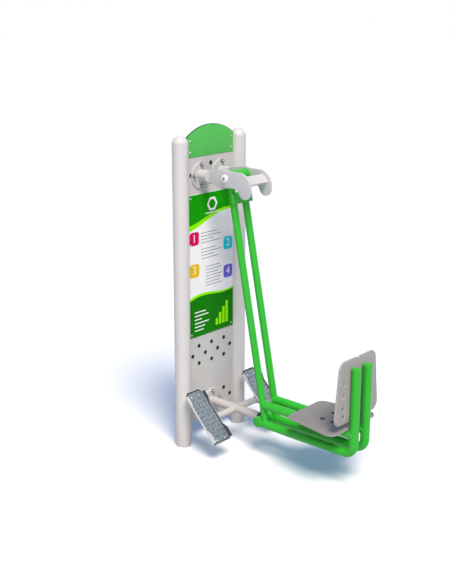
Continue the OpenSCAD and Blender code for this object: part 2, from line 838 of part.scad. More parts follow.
module front_bar() {
    color("limegreen") difference() {
        on_arms() translate([arm_d / 2 - front_bar_notch, -front_bar_w / 2,
                             -front_bar_drop - front_bar_h / 2])
            cube([front_bar_t, front_bar_w, front_bar_h]);
        arm_rods();
    }
}

// Screw places of a board, from its narrow end and from its middle
board_screws = [
    for (pair = [0, 1], side = [-1, 1]) [screw_first + pair * screw_pitch, side * frame_y]];

// The upper rail runs from the arm to the upright and is cut to the curve of both.
// Its end stops short of the upright's axis, so that the cut leaves no knife edge.
module high_rail(side) {
    color("limegreen") mirror([0, side > 0 ? 1 : 0, 0]) difference() {
        translate([0, -frame_y, high_rail_z]) difference() {
            rod_x(rail_d, high_arm_x, upright_x - rail_tip);
            rod_x(rail_d - 2 * frame_wall, 0, upright_x + cut);
        }
        on_arms() translate([0, -frame_y, -arm_len]) rotate([0, 0, 180])
            cylinder(d = arm_d, h = arm_len);
        translate([upright_x, -frame_y, 0]) cylinder(d = rail_d, h = upright_top);
        for (pair = [0, 1])
            translate([seat_x + screw_first + pair * screw_pitch, -frame_y, high_rail_z])
                cylinder(d = screw_d + 2 * hole_play, h = rail_d);
    }
}

// The run of a lower rail, its bend and its upright, as one solid of a given diameter
module bent_rod(d, overrun) {
    translate([0, 0, low_rail_z]) rod_x(d, barrel_x, upright_x - bend_r);
    translate([upright_x - bend_r, 0, low_rail_z + bend_r]) rotate([90, 0, 0])
        rotate([0, 0, -90]) rotate_extrude(angle = 90) translate([bend_r, 0]) circle(d = d);
    translate([upright_x, 0, low_rail_z + bend_r])
        cylinder(d = d, h = upright_top + overrun - low_rail_z - bend_r);
}

module low_rail(side) {
    color("limegreen") mirror([0, side > 0 ? 1 : 0, 0]) difference() {
        translate([0, -frame_y, 0]) difference() {
            bent_rod(rail_d, 0);
            bent_rod(rail_d - 2 * frame_wall, cut);
        }
        translate([barrel_x, 0, barrel_z]) rod_y(barrel_d, barrel_l + rail_d);
        for (pair = [0, 1])
            translate([back_x - cut, -frame_y, back_top - screw_first - pair * screw_pitch])
                rod_x(screw_d + 2 * hole_play, 0, rail_d / 2);
    }
}

module upright_cap(side) {
    color("limegreen") translate([upright_x, side * frame_y, upright_top]) {
        dome(rail_d, cap_dome_h);
        translate([0, 0, -cap_inset]) cylinder(d = rail_d - 2 * frame_wall, h = cap_inset + cut);
    }
}

module cross_barrel() {
    color("limegreen") translate([barrel_x, 0, barrel_z]) difference() {
        rod_y(barrel_d, barrel_l - 2 * end_cap_t);
        rod_y(barrel_d - 2 * frame_wall, barrel_l);
    }
}

module barrel_caps() {
    color("limegreen") for (side = [-1, 1])
        translate([barrel_x, side * (barrel_l / 2 - end_cap_t), barrel_z])
            rotate([-side * 90, 0, 0]) end_cap(barrel_d, frame_wall);
}

// A board from its narrow, notched end at x = 0, with screw holes and drain holes
module board(wide_w, drains) {
    notch_r = (notch_w * notch_w / 4 + notch_depth * notch_depth) / (2 * notch_depth);
    difference() {
        linear_extrude(board_thick) hull() for (side = [-1, 1]) {
            translate([board_r, side * (board_narrow_w / 2 - board_r)]) circle(r = board_r);
            translate([board_len - board_r, side * (wide_w / 2 - board_r)])
                circle(r = board_r);
        }
        translate([notch_depth - notch_r, 0, -cut])
            cylinder(r = notch_r, h = board_thick + 2 * cut);
        for (place = board_screws) translate([place[0], place[1], -cut])
            cylinder(d = screw_d + 2 * hole_play, h = board_thick + 2 * cut);
        for (drain = drains, side = [-1, 1]) translate([drain[0], side * drain[1], -cut])
            cylinder(d = drain_d, h = board_thick + 2 * cut);
    }
}

// Moves a board's own axes to the seat: its top face upwards on the upper rails
module on_seat() {
    translate([seat_x, 0, seat_z]) children();
}

// Moves a board's own axes to the back: its narrow end up and its top face towards the user
module on_back() {
    translate([back_x, 0, back_top]) rotate([0, 90, 0]) mirror([0, 0, 1]) children();
}

// Screws with domed caps on a board's top face, reaching through it into a tube's wall
module board_screw_set() {
    for (place = board_screws) translate([place[0], place[1], -screw_reach]) {
        cylinder(d = screw_d, h = screw_reach + board_thick + cut);
        translate([0, 0, screw_reach + board_thick]) dome(screw_cap_d, screw_cap_h);
    }
}

module seat_board() {
    color("darkgray") on_seat() board(seat_wide_w, seat_drains);
}

module seat_screws() {
    color([0.1, 0.1, 0.11]) on_seat() board_screw_set();
}

module back_board() {
    color("darkgray") on_back() board(back_wide_w, back_drains);
}

module back_screws() {
    color([0.1, 0.1, 0.11]) on_back() board_screw_set();
}

post(-1);  // left_post
post(1);  // right_post
post_cap(-1);  // left_post_cap
post_cap(1);  // right_post_cap
panel();
panel_lining();
header_plate();
info_board();
panel_rivets();
head_flange(-1);  // left_head_flange
head_flange(1);  // right_head_flange
beam_flange();
clamp_plate([-cheek_y, pivot_z]);  // left_clamp_plate
clamp_plate([cheek_y, pivot_z]);  // right_clamp_plate
clamp_plate([0, beam_z]);  // low_clamp_plate
flange_bolts();
cheek(-1);  // left_cheek
cheek(1);  // right_cheek
brace_plate();
axle();
axle_caps();
axle_screws();
thrust_washers();
beam();
beam_plug();
bumper();
foot_bar();
foot_bar_caps();
foot_carrier(-1);  // left_foot_carrier
foot_carrier(1);  // right_foot_carrier
foot_plate(-1);  // left_foot_plate
foot_plate(1);  // right_foot_plate
tread(-1);  // left_tread
tread(1);  // right_tread
tread_rivets();
hub();
bearing(-1);  // left_bearing
bearing(1);  // right_bearing
arm(-1);  // left_arm
arm(1);  // right_arm
front_bar();
high_rail(-1);  // left_high_rail
high_rail(1);  // right_high_rail
low_rail(-1);  // left_low_rail
low_rail(1);  // right_low_rail
upright_cap(-1);  // left_upright_cap
upright_cap(1);  // right_upright_cap
cross_barrel();
barrel_caps();
seat_board();
seat_screws();
back_board();
back_screws();
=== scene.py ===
import bmesh
import bpy
import numpy as np
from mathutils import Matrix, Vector
from mathutils.geometry import tessellate_polygon


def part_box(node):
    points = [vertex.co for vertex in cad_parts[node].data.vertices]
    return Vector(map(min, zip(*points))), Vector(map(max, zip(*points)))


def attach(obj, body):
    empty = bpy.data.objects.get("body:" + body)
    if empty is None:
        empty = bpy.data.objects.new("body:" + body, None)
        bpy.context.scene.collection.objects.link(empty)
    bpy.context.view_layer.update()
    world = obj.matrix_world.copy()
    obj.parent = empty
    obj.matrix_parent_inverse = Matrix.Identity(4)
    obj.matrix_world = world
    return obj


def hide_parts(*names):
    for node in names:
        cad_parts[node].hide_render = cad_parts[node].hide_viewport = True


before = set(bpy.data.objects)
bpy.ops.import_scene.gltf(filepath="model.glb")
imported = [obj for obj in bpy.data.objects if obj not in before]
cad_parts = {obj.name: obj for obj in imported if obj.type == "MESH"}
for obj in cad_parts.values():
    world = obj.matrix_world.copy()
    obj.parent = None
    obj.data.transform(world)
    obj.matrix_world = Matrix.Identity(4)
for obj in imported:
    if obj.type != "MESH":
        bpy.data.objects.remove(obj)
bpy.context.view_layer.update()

# ---- Camera ----
# A plain lens at the photograph's angle: above the seat's side of the machine, looking down a
# little, with the two posts on the left of the picture and the seat on the right.
scene = bpy.context.scene
camera_data = bpy.data.cameras.new("camera")
camera_data.lens = 62.03
camera_data.clip_end = 80
camera = bpy.data.objects.new("camera", camera_data)
camera.location = (4.531, -4.883, 2.993)
sight = Vector((-0.6416, 0.7140, -0.2803))
camera.rotation_euler = sight.to_track_quat("-Z", "Y").to_euler()
scene.collection.objects.link(camera)
scene.camera = camera

# ---- Studio ----
# A pale floor, a pale blue sky dome, one wide sun-like lamp high on the seat's side, and a weak
# broad fill beside the camera. The floor shows white and keeps the machine's soft blue shadow.


def colour(code):
    """Linear colour of an sRGB hex code: a channel c is c / 12.92 up to 0.04045, and
    ((c + 0.055) / 1.055) to the power 2.4 above it."""
    c = np.array([int(code[i:i + 2], 16) for i in (1, 3, 5)]) / 255
    return (*np.where(c <= 0.04045, c / 12.92, ((c + 0.055) / 1.055) ** 2.4).tolist(), 1.0)


def add(tree, kind, inputs=(), **settings):
    """Adds a node with its settings, and sets or links each input that is named."""
    new = tree.nodes.new(kind)
    for key, value in settings.items():
        setattr(new, key, value)
    for key, value in dict(inputs).items():
        if isinstance(value, bpy.types.NodeSocket):
            tree.links.new(value, new.inputs[key])
        else:
            new.inputs[key].default_value = value
    return new


def new_material(name, base, roughness, metallic=0.0, specular=0.5):
    """A material that is one shader so far, with its tree and that shader."""
    material = bpy.data.materials.new(name)
    material.use_nodes = True
    tree = material.node_tree
    tree.nodes.clear()
    shader = add(tree, "ShaderNodeBsdfPrincipled", {"Base Color": colour(base),
                 "Roughness": roughness, "Metallic": metallic, "Specular IOR Level": specular})
    add(tree, "ShaderNodeOutputMaterial", {"Surface": shader.outputs["BSDF"]})
    return material, tree, shader


def seen_by(tree, *rays):
    """1 for the kinds of ray that are named, and 0 for all others."""
    path = add(tree, "ShaderNodeLightPath")
    seen = path.outputs[rays[0]]
    for ray in rays[1:]:
        seen = add(tree, "ShaderNodeMath", {0: seen, 1: path.outputs[ray]},
                   operation="MAXIMUM").outputs[0]
    return seen


world = bpy.data.worlds.new("sky")
world.use_nodes = True
sky = world.node_tree
sky.nodes.clear()
blue = add(sky, "ShaderNodeBackground", {"Color": colour("#9AC0FF"), "Strength": 0.36})
white = add(sky, "ShaderNodeBackground", {"Color": (1, 1, 1, 1), "Strength": 1.0})
both = add(sky, "ShaderNodeMixShader", {
    0: seen_by(sky, "Is Camera Ray", "Is Transmission Ray", "Is Glossy Ray"),
    1: blue.outputs[0], 2: white.outputs[0]})
add(sky, "ShaderNodeOutputWorld", {"Surface": both.outputs[0]})
scene.world = world
scene.view_settings.view_transform = "Standard"

for name, kind, place, aim, size, power, tint in (
        ("key_lamp", "SUN", (3.6, -2.06, 6.67), (0.4, 0, 0.8), 0.42, 3.4, "#FFF6EA"),
        ("fill_lamp", "AREA", (3.4, -5.6, 2.2), (0.4, 0, 1.0), 3.0, 50, "#FFFBF4")):
    lamp_data = bpy.data.lights.new(name, kind)
    setattr(lamp_data, "angle" if kind == "SUN" else "size", size)
    lamp_data.energy, lamp_data.color = power, colour(tint)[:3]
    lamp = bpy.data.objects.new(name, lamp_data)
    lamp.location = place
    lamp.rotation_euler = (Vector(aim) - Vector(place)).to_track_quat("-Z", "Y").to_euler()
    scene.collection.objects.link(lamp)

floor_material, tree, shader = new_material("studio_floor", "#FFFFFF", 0.9)
seen = seen_by(tree, "Is Camera Ray", "Is Glossy Ray")
tone = add(tree, "ShaderNodeMix", {"Factor": seen, "A": colour("#C0C0BC"), "B": (1, 1, 1, 1)},
           data_type="RGBA")
tree.links.new(tone.outputs["Result"], shader.inputs["Base Color"])
# A trace of blue glow, for the same rays alone, tints the shadow as the open sky would
glow = add(tree, "ShaderNodeMath", {0: seen, 1: 0.07}, operation="MULTIPLY")
shader.inputs["Emission Color"].default_value = colour("#6CC0FF")
tree.links.new(glow.outputs[0], shader.inputs["Emission Strength"])
far = 60
floor_mesh = bpy.data.meshes.new("floor")
floor_mesh.from_pydata([(-far, -far, 0), (far, -far, 0), (far, far, 0), (-far, far, 0)], [],
                       [(0, 1, 2, 3)])
floor_mesh.materials.append(floor_material)
floor = bpy.data.objects.new("floor", floor_mesh)
scene.collection.objects.link(floor)

# ---- Posts ----
# Two 108 mm steel tubes set in the ground and powder-coated light grey. Each is closed by a
# pressed dome with a rounded foot, which leaves a fine seam round the tube's end.
x_axis, y_axis, z_axis = np.eye(3)
sides = ((-1, "left"), (1, "right"))


def size_of(node):
    """The lowest and the highest corner of a CAD node at rest, in millimetres, to the half."""
    return np.round(np.array(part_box(node)) * 2000) / 2


def middle_of(node):
    """The middle of a CAD node's box, in millimetres."""
    return size_of(node).mean(axis=0)


def mottled(tree, base, value, low, high):
    """A colour times a number that runs from low to high as value runs from 0 to 1."""
    level = add(tree, "ShaderNodeMapRange", {"Value": value, "To Min": low, "To Max": high})
    tone = add(tree, "ShaderNodeMix", {"Factor": 1.0, "A": colour(base),
               "B": level.outputs["Result"]}, data_type="RGBA", blend_type="MULTIPLY")
    return tone.outputs["Result"]


def patchy(name, base, roughness, size, detail, tones, glosses, **settings):
    """A finish whose tone and gloss vary together in soft patches. Noise with patches of a size in
    millimetres multiplies the colour by a number between the two tones, and the roughness runs
    from glosses[0] below its value to glosses[1] above it. Patterns lie on coordinates in metres,
    so one of p millimetres has the scale 1000 / p."""
    material, tree, shader = new_material(name, base, roughness, **settings)
    where = add(tree, "ShaderNodeTexCoord").outputs["Object"]
    patches = add(tree, "ShaderNodeTexNoise", {"Vector": where, "Scale": 1000 / size,
                  "Detail": detail}).outputs["Fac"]
    tone = mottled(tree, base, patches, *tones)
    tree.links.new(tone, shader.inputs["Base Color"])
    if glosses:
        gloss = add(tree, "ShaderNodeMapRange", {"Value": patches, "To Min":
                    roughness - glosses[0], "To Max": roughness + glosses[1]})
        tree.links.new(gloss.outputs["Result"], shader.inputs["Roughness"])
    return material, tree, shader, where, tone


def powder_coat(name, base, roughness=0.42, dusty=0.0, specular=0.5):
    """Polyester powder baked on steel: satin, with a faint orange peel, a tone that varies by
    about 2 % over 150 mm, and road dust that fades upwards from the ground."""
    material, tree, shader, where, tone = patchy(name, base, roughness, 150, 4.0, (0.96, 1.03),
                                                 (0.05, 0.07), specular=specular)
    if dusty:
        # Dust in 12 mm specks thins out to nothing 220 mm above the ground
        height = add(tree, "ShaderNodeSeparateXYZ", {"Vector": where})
        low = add(tree, "ShaderNodeMapRange", {"Value": height.outputs["Z"], "From Min": 0.0,
                  "From Max": 0.22, "To Min": dusty, "To Max": 0.0})
        specks = add(tree, "ShaderNodeTexNoise", {"Vector": where, "Scale": 1000 / 12,
                     "Detail": 6.0})
        share = add(tree, "ShaderNodeMath", {0: low.outputs["Result"],
                    1: specks.outputs["Fac"]}, operation="MULTIPLY")
        tone = add(tree, "ShaderNodeMix", {"Factor": share.outputs[0], "A": tone,
                   "B": colour("#A79C8C")}, data_type="RGBA")
        tree.links.new(tone.outputs["Result"], shader.inputs["Base Color"])
    # Orange peel has cells of 2 mm, drawn at 3 mm so that it shows, under a slow 14 mm swell
    peel = add(tree, "ShaderNodeTexNoise", {"Vector": where, "Scale": 1000 / 3, "Detail": 2.0})
    swell = add(tree, "ShaderNodeTexNoise", {"Vector": where, "Scale": 1000 / 14, "Detail": 1.0})
    relief = add(tree, "ShaderNodeMath", {0: peel.outputs["Fac"], 1: swell.outputs["Fac"]},
                 operation="ADD")
    bump = add(tree, "ShaderNodeBump", {"Height": relief.outputs[0], "Strength": 0.35,
               "Distance": 0.0002})
    tree.links.new(bump.outputs["Normal"], shader.inputs["Normal"])
    return material


def dress(material, *names):
    """Gives CAD nodes a finish."""
    for name in names:
        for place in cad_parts[name].material_slots:
            place.material = material


def piece(name, parts, material, body):
    """Joins parts, each a pair of points in millimetres and faces, into one object on a body.
    Points that meet are merged, faces are turned outwards, and edges over 35 degrees stay sharp."""
    starts = np.cumsum([0] + [len(points) for points, _ in parts])
    points = np.concatenate([points for points, _ in parts]) / 1000
    faces = [tuple(int(i) + int(start) for i in face)
             for start, (_, part_faces) in zip(starts, parts) for face in part_faces]
    mesh = bpy.data.meshes.new(name)
    mesh.from_pydata(points.tolist(), [], faces)
    shell = bmesh.new()
    shell.from_mesh(mesh)
    bmesh.ops.remove_doubles(shell, verts=shell.verts, dist=2e-6)
    bmesh.ops.dissolve_degenerate(shell, edges=shell.edges, dist=1e-7)
    bmesh.ops.recalc_face_normals(shell, faces=shell.faces)
    shell.to_mesh(mesh)
    shell.free()
    mesh.polygons.foreach_set("use_smooth", np.ones(len(mesh.polygons), bool))
    mesh.set_sharp_from_angle(angle=np.radians(35))
    mesh.materials.append(material)
    made = bpy.data.objects.new(name, mesh)
    scene.collection.objects.link(made)
    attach(made, body)
    return made


def cells(rows, columns, wrap_rows=False, wrap_columns=True):
    """Quads of a grid of points: cell (i, j) joins the four points around it."""
    i, j = np.meshgrid(np.arange(rows - (not wrap_rows)), np.arange(columns - (not wrap_columns)),
                       indexing="ij")
    k, l = (i + 1) % rows, (j + 1) % columns
    return np.stack([i * columns + j, k * columns + j, k * columns + l, i * columns + l],
                    axis=-1).reshape(-1, 4)


def axes_about(axis):
    """A unit axis and two unit vectors square to it, the first of them level unless the axis is
    nearly upright."""
    axis = np.array(axis, float) / np.linalg.norm(axis)
    u = np.cross(axis, z_axis if abs(axis[2]) < 0.9 else x_axis)
    u /= np.linalg.norm(u)
    return axis, u, np.cross(axis, u)


def turned(profile, centre, axis, steps, across_flats=None):
    """A turned solid: each profile point (radius, height) goes round the axis, to centre + height
    * axis + radius * (cos a * u + sin a * v). With across_flats, no radius passes a hexagon's,
    which is half its width / cos of the angle to the middle of the nearest flat."""
    axis, u, v = axes_about(axis)
    a = np.linspace(0, 2 * np.pi, steps, endpoint=False)
    r, h = np.array(profile, float).T
    r = np.repeat(r[:, None], steps, axis=1)
    if across_flats:
        r = np.minimum(r, across_flats / 2 / np.cos((a + np.pi / 6) % (np.pi / 3) - np.pi / 6))
    points = (centre + h[:, None, None] * axis + (r * np.cos(a))[..., None] * u
              + (r * np.sin(a))[..., None] * v)
    return points.reshape(-1, 3), cells(len(h), steps)


def arc(x, y, r, start, end, steps):
    """Points of an arc around (x, y), from one angle to another in degrees."""
    a = np.radians(np.linspace(start, end, steps + 1))
    return np.stack([x + r * np.cos(a), y + r * np.sin(a)], axis=1)


post_r, _, post_top = size_of("right_post")[1]
post_y = middle_of("right_post")[1]
dome_foot_r = 1.4
dome_profile = [(0, 0), *arc(post_r - dome_foot_r, dome_foot_r, dome_foot_r, -90, -10, 4),
                *arc(0, 0, post_r, 2.5, 90, 30)]
post_coat = powder_coat("post_powder_coat", "#DEDAD8", dusty=0.5)
for side, name in sides:
    top = piece(f"{name}_post_dome",
                [turned(dome_profile, (0, side * post_y, post_top), z_axis, 96)],
                post_coat, "stand")
    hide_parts(f"{name}_post_cap")
dress(post_coat, "left_post", "right_post")

# ---- Panel ----
# A hollow panel folded from 2 mm sheet and welded between the posts. Black collars round its
# punched round holes and a black sheet behind them are painted shade: they make the holes read
# dark, as the inside of the hollow panel would.
# The panel's coat is set a little darker than the posts': partly its own tone, and partly painted
# shade for the shade that the header and the head cast on it.
panel_coat_with_painted_shade = powder_coat("panel_powder_coat_with_painted_shade", "#CFCBC9", 0.45, dusty=0.5)
dress(panel_coat_with_painted_shade, "panel")
(_, _, panel_foot), (panel_x, _, panel_top) = size_of("panel")
flange_r = size_of("beam_flange")[1][1]
flange_places = [middle_of(node)[1:] for node in
                 ("left_head_flange", "right_head_flange", "beam_flange")]
# Each band has rows of three, four and three holes, and no hole where a flange covers the panel
hole_r, hole_pitch, hole_bands = 14, 126.6, (248, 627, 1882)
hole_places = [(column * hole_pitch, z + row * hole_pitch / 2)
               for z in hole_bands for row in (-1, 0, 1)
               for column in ((-1.5, -0.5, 0.5, 1.5) if row == 0 else (-1, 0, 1))]
hole_places = [place for place in hole_places if np.linalg.norm(
    np.subtract(flange_places, place), axis=1).min() > flange_r - hole_r / 2]


def bead(path, r, pitch=5.0, closed=True, steps=8):
    """A weld bead: a circle of radius r * (1 + 0.1 * cos(2 pi s / pitch)) carried along the path,
    where s is the length so far, so the bead swells once per pitch as overlapping pools do. An
    open bead runs out to points."""
    ahead, behind = np.roll(path, -1, axis=0), np.roll(path, 1, axis=0)
    if not closed:
        ahead[-1], behind[0] = path[-1], path[0]
    tangent = ahead - behind
    tangent /= np.linalg.norm(tangent, axis=1, keepdims=True)
    slanted = np.array((0.31, 0.52, 0.79))
    n1 = np.cross(tangent, slanted)
    n1 /= np.linalg.norm(n1, axis=1, keepdims=True)
    n2 = np.cross(tangent, n1)
    s = np.concatenate([[0], np.cumsum(np.linalg.norm(np.diff(path, axis=0), axis=1))])
    whole = s[-1] + (np.linalg.norm(path[0] - path[-1]) if closed else 0)
    waves = max(1, round(whole / pitch))
    size = r * (1 + 0.1 * np.cos(2 * np.pi * waves * s / whole))
    if not closed:
        size[[0, -1]] = 0.01
    a = np.linspace(0, 2 * np.pi, steps, endpoint=False)
    points = path[:, None] + size[:, None, None] * (np.cos(a)[:, None] * n1[:, None]
                                                    + np.sin(a)[:, None] * n2[:, None])
    return points.reshape(-1, 3), cells(len(path), steps, wrap_rows=closed)


def straight(start, end, step=1.25):
    """Evenly spaced points from one place to another."""
    start, end = np.array((start, end), float)
    n = int(np.linalg.norm(end - start) / step) + 2
    return start + np.linspace(0, 1, n)[:, None] * (end - start)


def moulded(name, base, roughness, grain, depth, detail=2.0, strength=1.0):
    """Moulded rubber or plastic: matt, with the fine grain that the mould leaves. The grain's
    size and depth are in millimetres."""
    material, tree, shader = new_material(name, base, roughness)
    speckle = add(tree, "ShaderNodeTexNoise", {"Scale": 1000 / grain, "Detail": detail,
                  "Vector": add(tree, "ShaderNodeTexCoord").outputs["Object"]})
    bump = add(tree, "ShaderNodeBump", {"Height": speckle.outputs["Fac"], "Strength": strength,
               "Distance": depth / 1000})
    tree.links.new(bump.outputs["Normal"], shader.inputs["Normal"])
    return material


# The seams run down the four lines where the panel's two faces meet the posts
seam_y, seam_r, seam_end = post_y - np.sqrt(post_r ** 2 - panel_x ** 2), 2.6, 2
piece("panel_seams", [
    bead(straight((x, side * seam_y, panel_foot + seam_end),
                  (x, side * seam_y, panel_top - seam_end), step=seam_r),
         seam_r, pitch=8, closed=False, steps=6)
    for x in (-panel_x, panel_x) for side in (-1, 1)], panel_coat_with_painted_shade, "stand")

# Painted shade: the black sheet behind the holes and the black collars on their walls make the
# holes read dark.
shade_sheet = moulded("black_sheet_painted_shade", "#0B0B0C", 0.85, grain=2, depth=0.3)
dress(shade_sheet, "panel_lining")
collar = np.array([(0.9, -0.2), (0.7, 0.35), (-0.1, 0.35), (-0.4, 0), (-0.4, -2.2), (0.2, -2.2),
                   (0.9, -0.2)]) + (hole_r, 0)
piece("hole_collars", [turned(collar, (panel_x, y, z), x_axis, 40) for y, z in hole_places],
      shade_sheet, "stand")

# ---- Header ----
# An arched cap of 20 mm green plastic board that fits over the panel's top edge, held by four
# blind rivets. Its milled edge is duller and darker than its face.


def rounded(corners, r, steps=5):
    """An outline with round corners: between the two places where a corner's circle touches its
    sides, the corner gives way to that circle's arc, found by turning one radius to the other."""
    p = np.array(corners, float)
    a, b = np.roll(p, 1, axis=0) - p, np.roll(p, -1, axis=0) - p
    a /= np.linalg.norm(a, axis=1, keepdims=True)
    b /= np.linalg.norm(b, axis=1, keepdims=True)
    half = np.arccos(np.clip((a * b).sum(axis=1, keepdims=True), -1, 1)) / 2
    middle = (a + b) / np.linalg.norm(a + b, axis=1, keepdims=True)
    centre = p + middle * r / np.sin(half)
    e1, e2 = p + a * r / np.tan(half) - centre, p + b * r / np.tan(half) - centre
    t, turn = np.linspace(0, 1, steps + 1)[None, :, None], (np.pi - 2 * half)[:, None]
    points = centre[:, None] + (np.sin((1 - t) * turn) * e1[:, None]
                                + np.sin(t * turn) * e2[:, None]) / np.sin(turn)
    return points.reshape(-1, 2)


def oblong(left, right, low, high, r, steps=5):
    """A rectangle with round corners."""
    return rounded([(left, low), (right, low), (right, high), (left, high)], r, steps)


def plate(outline, thickness, edge_r, origin, u, v, w, holes=(), steps=4):
    """A flat plate with rounded edges. Each outline point moves in along its normal by edge_r *
    (1 - sin a) and back from the face by edge_r * (1 - cos a), and the same at the back. The two
    flat faces are filled with triangles. (x, y, depth) lands at origin + x u + y v + depth w."""
    a = np.linspace(0, np.pi / 2, steps + 1)
    inset = edge_r * (1 - np.sin(a))
    depth = edge_r * (1 - np.cos(a))
    inset = np.concatenate([inset, inset[::-1]])
    depth = np.concatenate([depth, thickness - depth[::-1]])
    all_points, faces, flat, start = [], [], [], 0
    for k, loop in enumerate([outline, *holes]):
        loop = np.array(loop, float)
        loop = loop[np.linalg.norm(loop - np.roll(loop, 1, axis=0), axis=1) > 1e-4]
        area = (loop[:, 0] * np.roll(loop[:, 1], -1) - np.roll(loop[:, 0], -1) * loop[:, 1]).sum()
        if (area > 0) == (k > 0):
            loop = loop[::-1]
        edge = np.roll(loop, -1, axis=0) - loop
        edge /= np.linalg.norm(edge, axis=1, keepdims=True)
        n2 = np.stack([edge[:, 1], -edge[:, 0]], axis=1)
        n1 = np.roll(n2, 1, axis=0)
        normal = (n1 + n2) / (1 + (n1 * n2).sum(axis=1, keepdims=True))
        xy = loop[None] - inset[:, None, None] * normal[None]
        points = np.insert(xy, 2, depth[:, None], axis=2).reshape(-1, 3)
        faces.append(cells(len(inset), len(loop)) + start)
        flat.append((start, xy[0]))
        all_points.append(points)
        start += len(points)
    front = np.concatenate([s + np.arange(len(xy)) for s, xy in flat])
    back = np.concatenate([s + (len(inset) - 1) * len(xy) + np.arange(len(xy))
                           for s, xy in flat])
    fill = np.array(tessellate_polygon([[Vector((*p, 0)) for p in xy] for _, xy in flat]))
    faces = [*np.concatenate(faces).tolist(), *front[fill].tolist(), *back[fill].tolist()]
    x, y, d = np.concatenate(all_points).T[..., None]
    return origin + x * u + y * v + d * w, faces


def plastic_board(name, base, edge, facing):
    """Polyethylene board: a fine pebbled skin, low in gloss, and an edge of another tone, which
    begins where the surface turns away from the axis that the board is facing. A darker edge tone
    is the cut edge's own; a lighter one is a painted highlight, where the rounded edge catches the
    light."""
    material, tree, shader, where, tone = patchy(name, base, 0.5, 90, 5.0, (0.94, 1.05), None,
                                                 specular=0.3)
    normal = add(tree, "ShaderNodeSeparateXYZ", {
        "Vector": add(tree, "ShaderNodeNewGeometry").outputs["Normal"]})
    along = add(tree, "ShaderNodeMath", {0: normal.outputs[facing]}, operation="ABSOLUTE")
    # Edge band: on the header the cut edge's own darker tone; on the seat and back boards a painted
    # highlight where the rounded edge catches the light.
    edge_band = add(tree, "ShaderNodeMapRange", {"Value": along.outputs[0], "From Min": 0.75,
                 "From Max": 0.98, "To Min": 1.0, "To Max": 0.0})
    tone = add(tree, "ShaderNodeMix", {"Factor": edge_band.outputs["Result"], "A": tone,
               "B": colour(edge)}, data_type="RGBA")
    tree.links.new(tone.outputs["Result"], shader.inputs["Base Color"])
    # Pebbles of 0.8 mm, drawn at 2 mm so that they show
    pebbles = add(tree, "ShaderNodeTexVoronoi", {"Vector": where, "Scale": 1000 / 2})
    bump = add(tree, "ShaderNodeBump", {"Height": pebbles.outputs["Distance"], "Strength": 0.4,
               "Distance": 0.0003})
    tree.links.new(bump.outputs["Normal"], shader.inputs["Normal"])
    return material


# Plates on the front are drawn across and up the panel, and their depth goes into it
on_panel = (y_axis, z_axis, -x_axis)
header_board = plastic_board("green_polyethylene_board", "#58C258", "#2E7436", "X")
(_, _, header_low), (header_x, header_half, header_high) = size_of("header_plate")
arch_rise = 70
arch_r = (header_half ** 2 + arch_rise ** 2) / (2 * arch_rise)
reach = np.degrees(np.arcsin(header_half / arch_r))
outline = [(-header_half, header_low), (header_half, header_low),
           *arc(0, header_high - arch_r, arch_r, 90 - reach, 90 + reach, 60)]
header = piece("header", [plate(outline, 2 * header_x, 7, (header_x, 0, 0), *on_panel)],
               header_board, "stand")
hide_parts("header_plate")

# ---- Info board ----
# A 3 mm white composite board with rounded corners, printed with a plain generic design: green
# fields, grey rules and four numbered tabs. Each ink is a thin film on the board.


def print_film(name, base):
    """Screen ink under a matt film: almost no gloss, with a slight mottle in patches of 60 mm
    where the sun has bleached it."""
    return patchy(name, base, 0.5, 60, 6.0, (0.93, 1.05), (0.06, 0.1), specular=0.05)[0]


inks = {name: print_film(f"{name}_ink", code) for name, code in (
    ("white", "#FFFBFD"), ("dark_green", "#149E02"), ("deep_green", "#128004"),
    ("lime", "#96FA04"), ("grey", "#A7A9AD"), ("magenta", "#E3086A"), ("yellow", "#F2C512"),
    ("cyan", "#14D8EA"), ("violet", "#7468DC"))}
(board_back, _, board_low), (board_x, board_half, board_high) = size_of("info_board")
board = piece("info_sheet", [plate(
    oblong(-board_half, board_half, board_low, board_high, 8), board_x - board_back, 0.8,
    (board_x, 0, 0), *on_panel)], inks["white"], "stand")
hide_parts("info_board")


def film(outline, x, holes=()):
    """A film of ink 0.1 mm thick, with its face at x."""
    return plate(outline, 0.1, 0.02, (x, 0, 0), *on_panel, holes=holes, steps=1)


def printed(name, ink, layer, outlines):
    """Films of one ink, each layer 0.12 mm nearer the viewer than the last."""
    return piece(name, [film(outline, board_x + 0.05 + 0.12 * layer) for outline in outlines],
                 inks[ink], "stand")


# The green fields fill the board's top and foot up to a 1 mm margin, and each ends in a slow
# sine wave across the board, with a lime band along it
margin, corner = 1, 7
y = np.linspace(margin - board_half, board_half - margin, 60)
top_wave = 1585 + 34 * np.sin((y + 60) / 120) + 0.05 * y
low_wave = 1035 + 0.16 * y - 30 * np.sin((y - 20) / 105)
corner_y = board_half - margin - corner
corner_top, corner_low = board_high - margin - corner, board_low + margin + corner
printed("upper_green_field", "dark_green", 0, [
    [*zip(y, top_wave), *arc(corner_y, corner_top, corner, 0, 90, 5),
     *arc(-corner_y, corner_top, corner, 90, 180, 5)]])
printed("lower_green_field", "deep_green", 0, [
    [*zip(y[::-1], low_wave[::-1]), *arc(-corner_y, corner_low, corner, 180, 270, 5),
     *arc(corner_y, corner_low, corner, 270, 360, 5)]])
printed("lime_bands", "lime", 1, [
    [*zip(y, low), *zip(y[::-1], high[::-1])]
    for low, high in ((top_wave - 24 + 0.05 * y, top_wave + 2),
                      (low_wave - 2, low_wave + 14 - 0.02 * y))])


def rule(left, right, z, height):
    """A printed rule with round corners, about a height on the board."""
    return oblong(left, right, z - height / 2, z + height / 2, height * 0.3, 3)


